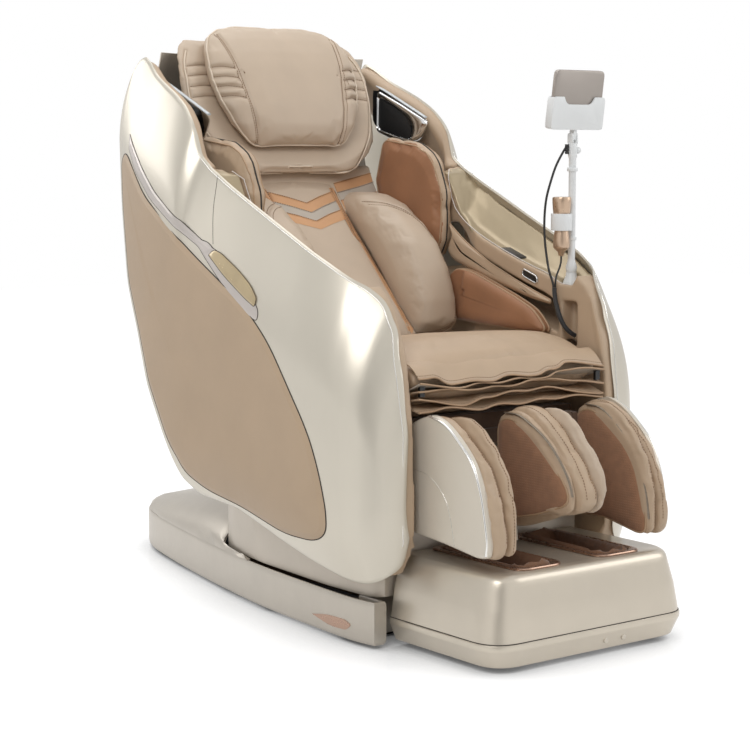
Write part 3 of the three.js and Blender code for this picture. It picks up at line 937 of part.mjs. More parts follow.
// Cords: a smooth tube through hand-placed points, with straight ends.
function cordTube(points, diameter, sides) {
  const path = new THREE.CatmullRomCurve3(points.map(p => vec(...p)), false, 'centripetal');
  const steps = Math.min(80, Math.ceil(path.getLength() / (diameter * 3)));
  const section = new THREE.Shape(span(0, 2 * Math.PI, sides + 1).slice(0, -1).map(
    a => new THREE.Vector2(diameter / 2 * Math.cos(a), diameter / 2 * Math.sin(a))));
  return outward(new THREE.ExtrudeGeometry(section, { steps, extrudePath: path, bevelEnabled: false }));
}
const BUNDLE_TOP = [250.5, -376, 690];
const TABLET_CORD = [
  [292.5, -367, 992], [289, -365, 988], [283, -361, 976], [272, -354, 950], [262, -348, 915], [254, -344, 880],
  [250, -343, 840], [248, -346, 800], [246.5, -354, 760], [246, -364, 725], [247.2, -373, 704], [247.6, -375.6, 696],
  [247.8, -376, 690.4],
];
const WAND_CORD = [
  [WAND_X, STAND_Y, 756.6], [WAND_X, STAND_Y, 750], [273, -370.5, 740], [266, -372.5, 728], [258, -374.5, 716],
  [254, -375.5, 704], [253.3, -376, 696], [253.3, -376, 690.4],
];
const BUNDLE = [
  BUNDLE_TOP, [250.5, -376.5, 680], [250.5, -380, 664], [251, -386, 646], [252, -393, 628], [256, -400, 612],
  [263, -406, 600], [272, -410, 592], [280, -411, 588],
];
add('tablet_cord', cordTube(TABLET_CORD, CORD_DIAMETER, 8), blackGloss);
add('wand_cord', cordTube(WAND_CORD, WAND_CORD_DIAMETER, 8), blackGloss);
add('cord_bundle', cordTube(BUNDLE, BUNDLE_DIAMETER, 8), blackGloss);

export default massageChair;
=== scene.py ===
import bpy, bmesh, math
import numpy as np
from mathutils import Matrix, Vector
from mathutils.bvhtree import BVHTree
from mathutils.geometry import tessellate_polygon


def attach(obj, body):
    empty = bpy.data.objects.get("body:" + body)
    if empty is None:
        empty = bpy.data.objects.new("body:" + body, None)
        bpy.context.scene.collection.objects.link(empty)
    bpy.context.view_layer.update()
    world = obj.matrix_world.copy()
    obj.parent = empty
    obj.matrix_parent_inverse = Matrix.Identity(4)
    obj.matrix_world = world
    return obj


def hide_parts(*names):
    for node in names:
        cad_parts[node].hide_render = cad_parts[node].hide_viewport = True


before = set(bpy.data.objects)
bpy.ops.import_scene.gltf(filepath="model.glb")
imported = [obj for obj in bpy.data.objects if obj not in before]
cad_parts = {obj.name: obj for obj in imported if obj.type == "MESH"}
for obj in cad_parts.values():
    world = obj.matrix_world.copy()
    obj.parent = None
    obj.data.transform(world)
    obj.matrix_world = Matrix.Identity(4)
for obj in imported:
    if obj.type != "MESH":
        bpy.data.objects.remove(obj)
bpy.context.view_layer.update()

# ---------------------------------------------------------------------------
# Camera. Stands in front of the sitter's right arm and a little above it,
# on a long lens, so the far arm and its stand show over the seat.
# ---------------------------------------------------------------------------
LENS_MM, SENSOR_MM = 93.4, 36.0
EYE = (-2.590, -3.457, 0.984)
TILT_DOWN, TURN_RIGHT = 6.6, 37.4

scene = bpy.context.scene
lens = bpy.data.cameras.new("camera")
lens.lens, lens.sensor_width = LENS_MM, SENSOR_MM
camera = bpy.data.objects.new("camera", lens)
camera.location = EYE
camera.rotation_euler = (math.radians(90 - TILT_DOWN), 0.0, -math.radians(TURN_RIGHT))
scene.collection.objects.link(camera)
scene.camera = camera

# ---------------------------------------------------------------------------
# Studio. A white floor that keeps the soft shadow and whose glow carries a
# painted contact shadow, white all round with a darker band where the
# photographer stands, and broad soft lamps.
# ---------------------------------------------------------------------------
WHITE = (1.0, 1.0, 1.0, 1.0)
TO_CAMERA = (-0.607, -0.794, 0.0)
# How grey the walls are in a mirror, from behind the chair to behind the camera.
WALL_GREYS = ((0.0, 0.80), (0.62, 0.78), (0.78, 0.98), (0.93, 1.0), (0.962, 0.72), (0.985, 0.30), (1.0, 0.22))
LAMPS = (  # name, place, aim, size and power
    ("lamp_key", (-2.6, -2.2, 3.0), (0.0, 0.0, 0.6), 1.8, 52.0),
    ("lamp_fill", (2.9, -2.4, 2.2), (0.0, -0.1, 0.5), 2.2, 34.0),
    ("lamp_top", (0.2, 0.6, 3.4), (0.0, 0.0, 0.6), 2.4, 34.0),
    ("lamp_back", (-1.6, 3.0, 2.0), (0.0, 0.2, 0.6), 1.6, 20.0),
)
FLOOR_HALF = 9.0


def add(tree, kind, inputs=None, family="ShaderNode", **settings):
    """A node with its settings. inputs gives a value, or the socket that feeds it, for each input."""
    node = tree.nodes.new(family + kind)
    for key, value in settings.items():
        setattr(node, key, value)
    for socket, value in (inputs or {}).items():
        if isinstance(value, bpy.types.NodeSocket):
            tree.links.new(value, node.inputs[socket])
        else:
            node.inputs[socket].default_value = value
    return node


scene.view_settings.view_transform = "Standard"
world = bpy.data.worlds.new("studio")
scene.world = world
world.use_nodes = True
walls = world.node_tree
walls.nodes.clear()
way = add(walls, "TexCoord")
level = add(walls, "VectorMath", {0: way.outputs["Generated"], 1: (1.0, 1.0, 0.0)}, operation="MULTIPLY")
unit = add(walls, "VectorMath", {0: level.outputs["Vector"]}, operation="NORMALIZE")
toward = add(walls, "VectorMath", {0: unit.outputs["Vector"], 1: TO_CAMERA}, operation="DOT_PRODUCT")
share = add(walls, "MapRange", {"Value": toward.outputs["Value"], "From Min": -1.0})
bands = add(walls, "ValToRGB", {"Fac": share.outputs["Result"]})
stops = bands.color_ramp.elements
for place, grey in WALL_GREYS:
    stop = stops[0] if place == 0.0 else stops[-1] if place == 1.0 else stops.new(place)
    stop.color = (grey, grey, grey, 1.0)
ray = add(walls, "LightPath")
mirror = add(walls, "Math", {0: ray.outputs["Is Glossy Ray"], 1: ray.outputs["Is Transmission Ray"]},
             operation="ADD", use_clamp=True)
around = add(walls, "Background", {"Color": WHITE, "Strength": 0.44})
banded = add(walls, "Background", {"Color": bands.outputs["Color"]})
white = add(walls, "Background", {"Color": WHITE})
lit = add(walls, "MixShader", {0: mirror.outputs[0], 1: around.outputs[0], 2: banded.outputs[0]})
shown = add(walls, "MixShader", {0: ray.outputs["Is Camera Ray"], 1: lit.outputs[0], 2: white.outputs[0]})
add(walls, "OutputWorld", {"Surface": shown.outputs[0]})

for name, place, aim, size, power in LAMPS:
    lamp = bpy.data.lights.new(name, "AREA")
    lamp.shape, lamp.size, lamp.size_y = "RECTANGLE", size, size
    lamp.energy, lamp.specular_factor = power, 0.3
    lamp_object = bpy.data.objects.new(name, lamp)
    lamp_object.location = place
    lamp_object.rotation_euler = (Vector(aim) - Vector(place)).to_track_quat("-Z", "Y").to_euler()
    scene.collection.objects.link(lamp_object)

floor_mesh = bpy.data.meshes.new("floor")
floor_mesh.from_pydata([(x * FLOOR_HALF, y * FLOOR_HALF, 0) for x, y in ((-1, -1), (1, -1), (1, 1), (-1, 1))], [],
                       [(0, 1, 2, 3)])
floor = bpy.data.objects.new("floor", floor_mesh)
scene.collection.objects.link(floor)
paper = bpy.data.materials.new("studio_floor")
paper.use_nodes = True
sheet = paper.node_tree
sheet.nodes.clear()
# Ambient occlusion dims the floor's glow next to the chair: a painted contact shadow.
near = add(sheet, "AmbientOcclusion", {"Distance": 0.22}, samples=8)
painted_contact_shadow = add(sheet, "MapRange", {"Value": near.outputs["AO"], "From Min": 0.05, "From Max": 0.85, "To Max": 1.4})
glow_with_painted_shadow = add(sheet, "Emission", {"Strength": painted_contact_shadow.outputs["Result"]})
matt = add(sheet, "BsdfPrincipled", {"Base Color": (0.88, 0.88, 0.88, 1.0), "Roughness": 0.14})
ray = add(sheet, "LightPath")
straight = add(sheet, "Math", {0: ray.outputs["Is Camera Ray"], 1: ray.outputs["Is Glossy Ray"]},
               operation="ADD", use_clamp=True)
part = add(sheet, "Math", {0: straight.outputs[0], 1: 0.6}, operation="MULTIPLY")
mixed = add(sheet, "MixShader", {0: part.outputs[0], 1: matt.outputs[0], 2: glow_with_painted_shadow.outputs[0]})
add(sheet, "OutputMaterial", {"Surface": mixed.outputs[0]})
floor.data.materials.append(paper)

# ---------------------------------------------------------------------------
# Cords of the stand. A thin flex from the tablet and one from the wand hang
# down the post and join in a braided sleeve that goes into the arm pocket.
# ---------------------------------------------------------------------------
def rgb(r, g, b):
    """A colour as a paint chart gives it, 0 to 255, as the shader wants it."""
    def line(v):
        v = v / 255.0
        return v / 12.92 if v <= 0.04045 else ((v + 0.055) / 1.055) ** 2.4
    return (line(r), line(g), line(b), 1.0)


def grain_height(tree, place, kind, size):
    """The height of a grain: leather cells, punched holes, ribs, rows of teeth or plain noise."""
    if kind in ("leather", "holes"):
        cells = add(tree, "TexVoronoi", {"Vector": place, "Scale": 1.0 / size})
        if kind == "leather":
            return cells.outputs["Distance"]
        cells.inputs["Randomness"].default_value = 0.0
        cut = add(tree, "MapRange", {"Value": cells.outputs["Distance"], "From Min": 0.22, "From Max": 0.36})
        return cut.outputs["Result"]
    if kind in ("ribs", "rows"):
        bars = add(tree, "TexWave", {"Vector": place, "Scale": math.pi / 10.0 / size},
                   bands_direction="Y" if kind == "ribs" else "Z")
        return bars.outputs["Fac"]
    return add(tree, "TexNoise", {"Vector": place, "Scale": 1.0 / size, "Detail": 3.0}).outputs["Fac"]


def finish(name, colour, rough, metal=0.0, vary=0.05, blotch=14.0, grain=0.0, grain_size=0.0012,
           kind="noise", coat=0.0, sheen=0.0, rough_vary=0.06, soft=0.0, soft_size=0.05):
    """A finish with cloudy colour, uneven gloss and a surface grain of its own size in metres."""
    material = bpy.data.materials.new(name)
    material.use_nodes = True
    tree = material.node_tree
    shader = tree.nodes["Principled BSDF"]
    for socket, value in (("Metallic", metal), ("Coat Weight", coat), ("Coat Roughness", 0.12),
                          ("Sheen Weight", sheen)):
        shader.inputs[socket].default_value = value
    place = add(tree, "TexCoord").outputs["Object"]
    cloud = add(tree, "TexNoise", {"Vector": place, "Scale": blotch, "Detail": 4.0})
    shades = add(tree, "ValToRGB", {"Fac": cloud.outputs["Fac"]})
    for stop, position, share in zip(shades.color_ramp.elements, (0.3, 0.7), (1 - vary, 1 + vary)):
        stop.position = position
        stop.color = [min(1.0, channel * share) for channel in colour[:3]] + [1.0]
    tree.links.new(shades.outputs["Color"], shader.inputs["Base Color"])
    gloss = add(tree, "TexNoise", {"Vector": place, "Scale": 85.0, "Detail": 3.0})
    spread = add(tree, "MapRange", {"Value": gloss.outputs["Fac"], "To Min": max(0.02, rough - rough_vary),
                                    "To Max": min(1.0, rough + rough_vary)})
    tree.links.new(spread.outputs["Result"], shader.inputs["Roughness"])
    normal = None
    if soft:
        wave = add(tree, "TexNoise", {"Vector": place, "Scale": 1.0 / soft_size, "Detail": 2.5})
        swell = add(tree, "Bump", {"Height": wave.outputs["Fac"], "Strength": 1.0, "Distance": soft})
        normal = swell.outputs["Normal"]
    if grain:
        tooth = add(tree, "Bump", {"Height": grain_height(tree, place, kind, grain_size), "Strength": 0.6,
                                   "Distance": grain})
        if normal:
            tree.links.new(normal, tooth.inputs["Normal"])
        normal = tooth.outputs["Normal"]
    if normal:
        tree.links.new(normal, shader.inputs["Normal"])
    return material


def fit(piece, body, slot, *nodes):
    """Puts a piece on the body that carries it and hides the solids that it stands for. The slot is not used."""
    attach(piece, body)
    if nodes:
        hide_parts(*nodes)
    return piece


def put(name, skin, material, body, slot, *nodes, angle=60):
    """A piece from the points in metres and faces of its skin, with its finish. Edges over the angle stay sharp."""
    points, faces = skin
    mesh = bpy.data.meshes.new(name)
    mesh.from_pydata([tuple(map(float, p)) for p in points], [], [tuple(map(int, f)) for f in faces])
    b = bmesh.new()
    b.from_mesh(mesh)
    bmesh.ops.remove_doubles(b, verts=b.verts, dist=2e-6)
    bmesh.ops.dissolve_degenerate(b, dist=1e-6, edges=b.edges)
    bmesh.ops.recalc_face_normals(b, faces=b.faces)
    b.to_mesh(mesh)
    b.free()
    piece = bpy.data.objects.new(name, mesh)
    scene.collection.objects.link(piece)
    mesh.materials.append(material)
    for face in mesh.polygons:
        face.use_smooth = True
    mesh.set_sharp_from_angle(angle=math.radians(angle))
    return fit(piece, body, slot, *nodes)


def hermite(t, start, end, start_slope, end_slope):
    """The place at t, from 0 to 1, on the cubic between two places with given slopes."""
    return ((2 * t**3 - 3 * t**2 + 1) * start + (t**3 - 2 * t**2 + t) * start_slope
            + (-2 * t**3 + 3 * t**2) * end + (t**3 - t**2) * end_slope)


def route(points, steps=6):
    """The smooth line through the points, the same as the one that the solids follow."""
    p = [np.array(q, float) for q in points]
    out = []
    for i in range(len(p) - 1):
        a = p[i - 1] if i else p[0] * 2 - p[1]
        b, c = p[i], p[i + 1]
        d = p[i + 2] if i + 2 < len(p) else p[-1] * 2 - p[-2]
        t0, t1, t2 = (max(1e-4, np.linalg.norm(v) ** 0.5) for v in (b - a, c - b, d - c))
        m1 = ((b - a) / t0 - (c - a) / (t0 + t1) + (c - b) / t1) * t1
        m2 = ((c - b) / t1 - (d - b) / (t1 + t2) + (d - c) / t2) * t1
        out += [hermite(k / steps, b, c, m1, m2) for k in range(steps)]
    out.append(p[-1])
    return np.array(out)


def tube(path, radius, sides=12, flat=1.0, loop=False):
    """Points and faces of a closed tube along a path, or round a loop. flat squeezes its upright axis."""
    path = np.array(path, float)
    n = len(path)
    ahead = np.roll(path, -1, axis=0) - np.roll(path, 1, axis=0) if loop else np.gradient(path, axis=0)
    ahead /= np.maximum(np.linalg.norm(ahead, axis=1), 1e-12)[:, None]
    side = np.cross(ahead[0], (0, 0, 1) if abs(ahead[0][2]) < 0.9 else (1, 0, 0))
    side /= np.linalg.norm(side)
    points, faces = [], []
    for i in range(n):
        side = side - ahead[i] * side.dot(ahead[i])
        side /= np.linalg.norm(side)
        up = np.cross(ahead[i], side)
        for k in range(sides):
            a = 2 * math.pi * k / sides
            points.append(path[i] + radius * (math.cos(a) * side + flat * math.sin(a) * up))
    for i in range(n if loop else n - 1):
        a, b = i * sides, (i + 1) % n * sides
        for k in range(sides):
            j = (k + 1) % sides
            faces.append((a + k, a + j, b + j, b + k))
    if not loop:
        faces.append(tuple(range(sides - 1, -1, -1)))
        faces.append(tuple((n - 1) * sides + k for k in range(sides)))
    return points, faces


black_rubber = finish("cord_rubber", rgb(28, 27, 27), 0.5, vary=0.15, blotch=60, grain=0.0001, grain_size=0.0008)
sleeve = finish("braided_sleeve", rgb(40, 39, 40), 0.62, vary=0.3, blotch=500, grain=0.0006, grain_size=0.0022,
                kind="leather", sheen=0.2)
TABLET_ROUTE = route([[.2925, -.367, .992], [.289, -.365, .988], [.283, -.361, .976], [.272, -.354, .950],
                      [.262, -.348, .915], [.254, -.344, .880], [.250, -.343, .840], [.248, -.346, .800],
                      [.2465, -.354, .760], [.246, -.364, .725], [.2472, -.373, .704], [.2476, -.3756, .696],
                      [.2478, -.376, .6904]])
WAND_ROUTE = route([[.275, -.370, .7566], [.275, -.370, .750], [.273, -.3705, .740], [.266, -.3725, .728],
                    [.258, -.3745, .716], [.254, -.3755, .704], [.2533, -.376, .696], [.2533, -.376, .6904]])
BUNDLE_ROUTE = route([[.2505, -.376, .690], [.2505, -.3765, .680], [.2505, -.380, .664], [.251, -.386, .646],
                      [.252, -.393, .628], [.256, -.400, .612], [.263, -.406, .600], [.272, -.410, .592],
                      [.280, -.411, .588]])
for name, node, path, width, body, cover in (
    ("tablet_flex", "tablet_cord", TABLET_ROUTE, 0.005, "stand", black_rubber),
    ("wand_flex", "wand_cord", WAND_ROUTE, 0.004, "stand", black_rubber),
    ("flex_sleeve", "cord_bundle", BUNDLE_ROUTE, 0.010, "carriage", sleeve),
):
    piece = put(name, tube(path, width / 2, 14), cover, body, "rubber", node)

# ---------------------------------------------------------------------------
# Base. A steel runner frame on rubber feet and two rear wheels, inside a
# moulded skirt of champagne plastic, with a domed cover over the rear deck.
# ---------------------------------------------------------------------------
SIDES = ((1, "left"), (-1, "right"))
WELD = 1e-5


def copy_of(node, name, flatten=False):
    """A new object with a copy of a solid's mesh, its triangles merged and, if asked, its flat faces joined."""
    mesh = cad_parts[node].data.copy()
    mesh.name = name
    b = bmesh.new()
    b.from_mesh(mesh)
    bmesh.ops.remove_doubles(b, verts=b.verts, dist=WELD)
    if flatten:
        bmesh.ops.dissolve_limit(b, angle_limit=math.radians(0.6), verts=b.verts, edges=b.edges)
    b.to_mesh(mesh)
    b.free()
    piece = bpy.data.objects.new(name, mesh)
    scene.collection.objects.link(piece)
    return piece


def applied(piece):
    """The mesh that a piece's modifiers make. They are taken off the piece."""
    mesh = bpy.data.meshes.new_from_object(piece.evaluated_get(bpy.context.evaluated_depsgraph_get()))
    piece.modifiers.clear()
    return mesh


def paint(mesh, material, second=None, sort=None):
    """A finish over a smooth mesh, and a second one where sort picks a face by its centre and direction."""
    mesh.materials.clear()
    mesh.materials.append(material)
    if second:
        mesh.materials.append(second)
    for face in mesh.polygons:
        face.use_smooth = True
        face.material_index = 1 if second and sort(face.center, face.normal) else 0


def moulded(node, name, body, slot, material, edge=0.0015, angle=32):
    """A moulding on the solid's own shape, its edges rounded and its faces smoothed."""
    piece = copy_of(node, name, flatten=True)
    bevel = piece.modifiers.new("edge", "BEVEL")
    bevel.width, bevel.segments, bevel.limit_method, bevel.angle_limit = edge, 3, "ANGLE", math.radians(angle)
    piece.data = applied(piece)
    paint(piece.data, material)
    piece.data.set_sharp_from_angle(angle=math.radians(angle + 8))
    return fit(piece, body, slot, node)


def rings_skin(rings, capped=True, loop=False):
    """Points and faces of a skin through rings of equal counts, capped, open, or closed on itself."""
    n, points, faces = len(rings[0]), [tuple(p) for ring in rings for p in ring], []
    for i in range(len(rings) if loop else len(rings) - 1):
        a, b = i * n, ((i + 1) % len(rings)) * n
        faces += [(a + k, a + (k + 1) % n, b + (k + 1) % n, b + k) for k in range(n)]
    if capped and not loop:
        faces.append(tuple(range(n - 1, -1, -1)))
        faces.append(tuple((len(rings) - 1) * n + k for k in range(n)))
    return points, faces


def curve(table):
    """A line through a table of stations that never overshoots between them, flat beyond both ends."""
    xs, ys = np.array(table, float).T
    chord = np.diff(ys) / np.diff(xs)
    slope = np.zeros(len(xs))
    slope[0], slope[-1] = chord[0], chord[-1]
    for i in range(1, len(xs) - 1):
        a, b = chord[i - 1], chord[i]
        slope[i] = 2 * a * b / (a + b) if a * b > 0 else 0.0

    def at(x):
        x = np.asarray(x, float)
        i = np.clip(np.searchsorted(xs, x) - 1, 0, len(xs) - 2)
        h = xs[i + 1] - xs[i]
        t = np.clip((x - xs[i]) / h, 0, 1)
        return hermite(t, ys[i], ys[i + 1], h * slope[i], h * slope[i + 1])
    return at


def rounded(corners, steps=7):
    """A closed outline from corners given as x, y and the reach of their rounding."""
    points, out = np.array([c[:2] for c in corners], float), []
    for i, p in enumerate(points):
        to_last, to_next = points[i - 1] - p, points[(i + 1) % len(points)] - p
        before, after = np.linalg.norm(to_last), np.linalg.norm(to_next)
        start = p + to_last / before * min(corners[i][2], .49 * before)
        end = p + to_next / after * min(corners[i][2], .49 * after)
        for t in np.arange(steps + 1) / steps:
            out.append((1 - t) ** 2 * start + 2 * t * (1 - t) * p + t * t * end)
    return np.array(out)


def mm(points):
    """Points given in millimetres, in metres."""
    return [tuple(v / 1000 for v in p) for p in points]


MATT = {"grain": 0.00003, "grain_size": 0.0006}
COARSE = {"grain": 0.00004, "grain_size": 0.0006}
base_plastic = finish("base_champagne", rgb(194, 186, 174), 0.36, metal=0.5, vary=0.03, **COARSE)
cover_plastic = finish("lower_champagne", rgb(204, 194, 180), 0.4, metal=0.35, vary=0.03, **COARSE)
painted_steel = finish("powder_coated_steel", rgb(62, 62, 64), 0.5, metal=0.3, vary=0.08, grain=0.0001,
                       grain_size=0.0007)
foot_rubber = finish("foot_rubber", rgb(34, 33, 33), 0.75, vary=0.12, grain=0.0002, grain_size=0.001)
switch_plastic = finish("switch_black", rgb(22, 22, 23), 0.3, vary=0.1, grain=0.00003, grain_size=0.0005)
gap_shadow = finish("gap_shadow", rgb(52, 45, 38), 0.7, vary=0.1)
rose_metal = finish("rose_gold", rgb(176, 146, 128), 0.28, metal=0.85, vary=0.03, grain=0.00002, grain_size=0.0004)
# Dark brown for the steel seat and calf frames: painted shade where they show between the seat flaps and the leg rest.
painted_shade_brown = finish("painted_shade_brown", rgb(96, 74, 57), 0.85, vary=0.1, blotch=50, grain=0.0005, grain_size=0.003,
                    sheen=0.2)


def dress(material, *nodes):
    """CAD solids whose shape is right keep their mesh and get a finish: their real one, or for the seat and calf
    frames a painted shade colour.
    """
    for node in nodes:
        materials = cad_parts[node].data.materials
        materials.clear()
        materials.append(material)


dress(painted_steel, "base_frame", "back_frame", "massage_carriage", "kneading_shaft", "foot_roller_shaft")
dress(foot_rubber, "front_foot_left", "front_foot_right", "transport_wheel_left", "transport_wheel_right")
dress(switch_plastic, "power_switch")
# The seat and calf frames take the dark brown of painted shade, the brownish shade between the seat flaps and the leg
# rest.
dress(painted_shade_brown, "seat_frame", "calf_frame")

# Half width of the skirt along the chair, its front and rear ends and the bay in its front, in millimetres.
HULL = curve([[-470, 308], [-397, 316], [-200, 306], [-43, 292], [150, 262], [343, 225], [500, 190], [646, 150],
              [720, 112], [762, 66], [780, 34]])
SKIRT_FRONT, SKIRT_REAR = -470, 780
BAY_HALF, BAY_REAR = 278, -398
# How far each ring of the skirt's wall is drawn in, and its height.
SKIRT_ROWS = ((4, 8), (1.6, 11), (0, 17), (0, 84), (0.4, 91), (2.2, 95.2), (4.6, 96), (7, 95), (8, 92), (8, 8))
MARKER = rounded([[-262, 36, 2], [-320, 46, 20], [-384, 48, 10], [-404, 40, 6], [-388, 27, 10], [-330, 25, 20]],
                 steps=5)
MARKER_RISE = 0.0012


def skirt_line(inset):
    """The boat-shaped outline of the skirt with its bay for the foot box, drawn in by an inset."""
    ys = np.concatenate((np.linspace(SKIRT_FRONT + inset, 700, 60), np.linspace(712, SKIRT_REAR - inset, 12)))
    right = [(float(HULL(y)) - inset, y) for y in ys]
    left = [(-x, y) for x, y in right[::-1]]
    bay = [(side * (BAY_HALF + inset), end + inset)
           for side, end in ((-1, SKIRT_FRONT), (-1, BAY_REAR), (1, BAY_REAR), (1, SKIRT_FRONT))]
    return right + left + bay


skirt_rings = [mm([(x, y, z) for x, y in skirt_line(inset)]) for inset, z in SKIRT_ROWS]
put("skirt", rings_skin(skirt_rings, loop=True), base_plastic, "base", "champagne", "base_skirt", angle=40)
moulded("rear_deck_cover", "deck", "base", "champagne", base_plastic, edge=0.002)
moulded("lower_cover", "lower_body", "carriage", "champagne", cover_plastic)
moulded("back_shell", "rear_cover", "backrest", "champagne", base_plastic)
for side, name in SIDES:
    rim = np.array(mm([(side * float(HULL(y)), y, z) for y, z in MARKER]))
    middle, out = rim.mean(axis=0), np.array([side * MARKER_RISE, 0, 0])
    leaf = [rim - out, rim + out * 0.8, middle + (rim - middle) * 0.86 + out,
            middle + (rim - middle) * 0.02 + out * 1.1]
    put("marker_" + name, rings_skin(leaf), rose_metal, "base", "rose_gold", angle=40)

# ---------------------------------------------------------------------------
# Side shells. Pressed and lacquered champagne covers, 9 mm at the rim, that
# wrap the arm and run up the back into a wing beside the head.
# ---------------------------------------------------------------------------
SHELL_TOP = curve([[-540, 470], [-529, 520], [-515, 600], [-503, 640], [-484, 680], [-466, 700], [-432, 728],
                   [-371, 759], [-281, 799], [-193, 837], [-115, 871], [-30, 909], [45, 945], [80, 968], [110, 1042],
                   [151, 1080], [202, 1108], [295, 1148], [350, 1180], [400, 1212]])
SHELL_PLAN = curve([[-541, 282], [-529, 318], [-515, 344], [-490, 368], [-455, 385], [-400, 396], [-320, 402],
                    [-210, 403], [-80, 405], [80, 405], [220, 396], [340, 376], [430, 350]])
SHELL_LEAN = curve([[-541, 2], [-529, 38], [-515, 66], [-500, 82], [-470, 92], [-445, 86], [-420, 72], [-371, 60],
                    [-300, 55]])
SHELL_BOTTOM = curve([[-540, 175], [-520, 165], [-485, 140], [-454, 144], [-363, 164], [-240, 193], [-80, 237],
                      [104, 250]])
SHELL_RIM = rounded([[-445, 718, 24], [-371, 759, 20], [-281, 799, 20], [-193, 837, 20], [-30, 909, 20],
                     [45, 945, 14], [84, 972, 10], [108, 1038, 26], [151, 1080, 20], [202, 1108, 10], [295, 1148, 16],
                     [350, 1184, 22], [384, 1196, 26], [410, 1150, 20], [424, 1100, 10], [430, 1026, 20],
                     [416, 859, 30], [372, 689, 30], [306, 582, 20], [253, 470, 20], [164, 353, 20], [118, 272, 16],
                     [70, 246, 20], [-80, 236, 20], [-240, 193, 20], [-363, 164, 20], [-454, 143, 20],
                     [-498, 141, 26], [-530, 170, 24], [-539, 230, 10], [-539, 440, 20], [-521, 560, 20],
                     [-504, 636, 20], [-481, 684, 20]], steps=9)
TOP_BAND, LOW_BAND, TUCK = 220, 130, 30
WALL_HALF = 4.5
TRIM = rounded([[345, 1020, 4], [322, 996, 10], [267, 949, 20], [195, 893, 20], [107, 844, 20], [21, 801, 14],
                [-21, 784, 8], [-46, 776, 3], [-30, 770, 3], [-4, 765, 6], [21, 783, 10], [107, 821, 20],
                [213, 874, 20], [304, 939, 14], [343, 986, 4]], steps=4)
BEZEL = rounded([[30, 800, 10], [-14, 792, 14], [-50, 768, 20], [-120, 727, 20], [-176, 692, 18], [-206, 662, 12],
                 [-203, 640, 10], [-170, 650, 14], [-112, 684, 20], [-50, 728, 24], [10, 774, 14]], steps=5)
LENS = rounded([[-21, 766, 3], [-37, 778, 8], [-62, 772, 10], [-127, 740, 20], [-174, 711, 16], [-197, 686, 6],
                [-193, 668, 6], [-158, 684, 10], [-78, 728, 20]], steps=4)


def shell_x(y, z):
    """How far the outer face of the shell stands from the middle of the chair, in millimetres."""
    y, z = np.asarray(y, float), np.asarray(z, float)
    top = np.clip(1 - (SHELL_TOP(y) - z) / TOP_BAND, 0, 1)
    low = np.clip(1 - (z - SHELL_BOTTOM(y)) / LOW_BAND, 0, 1)
    return SHELL_PLAN(y) - SHELL_LEAN(y) * top**2 - TUCK * low**2


def reach_to(points, starts, ends):
    """How far each point lies from the nearest of many straight stretches."""
    best = np.full(len(points), 1e9)
    for start, end in zip(starts, ends):
        d = end - start
        q = float(d.dot(d))
        if q > 1e-14:
            t = np.clip(((points - start) @ d) / q, 0, 1)
            best = np.minimum(best, np.linalg.norm(points - start - t[:, None] * d, axis=1))
    return best


def from_edge(points, outline):
    """How far each point lies from the edge of an outline, in millimetres."""
    return reach_to(points, outline, np.roll(outline, -1, axis=0))


def columns(outline, spacing, fine=()):
    """Upright stations across an outline: where each one is, and the outline's lowest and highest place on it.
    They stand closer at both ends and in the fine stretches, given as start, end and spacing."""
    lo, hi, near = outline[:, 0].min(), outline[:, 0].max(), (0.4, 1.2, 2.4, 4, 6.5)
    ys = [lo + d for d in near] + list(np.arange(lo + 10, hi - 9, spacing)) + [hi - d for d in near]
    for start, end, step in fine:
        ys += list(np.arange(start, end, step))
    ys = np.array(sorted(set(np.round([y for y in ys if lo + near[0] <= y <= hi - near[0]], 3))))
    ys = ys[np.concatenate(([True], np.diff(ys) > 0.35))]
    low, high = [], []
    for y in ys:
        z = [s[1] + (y - s[0]) / (e[0] - s[0]) * (e[1] - s[1]) for s, e in zip(outline, np.roll(outline, -1, axis=0))
             if (s[0] - y) * (e[0] - y) <= 0 and abs(s[0] - e[0]) > 1e-9]
        low.append(min(z))
        high.append(max(z))
    return ys, low, high


def side_skin(outline, side, outer, inner, rows=44, spacing=7.0, fine=()):
    """Points and faces of a closed skin that follows the side of the chair inside an outline. outer and inner
    say how far its two faces stand from the shell's own outer face, from the distance to the edge."""
    t = 0.55 * (1 - np.cos(np.linspace(0, math.pi, rows))) / 2 + 0.45 * np.linspace(0, 1, rows)
    rings = []
    for y, low, high in zip(*columns(outline, spacing, fine)):
        y, z = np.full(rows, y), low + (high - low) * t
        x, d = shell_x(y, z), from_edge(np.stack([y, z], 1), outline)
        rings.append(mm([*zip(side * (x + outer(d)), y, z), *reversed([*zip(side * (x + inner(d)), y, z)])]))
    points, faces = rings_skin(rings, capped=False)
    m = 2 * rows
    for base in (0, (len(rings) - 1) * m):
        faces += [(base + k, base + k + 1, base + m - 2 - k, base + m - 1 - k) for k in range(rows - 1)]
    return points, faces


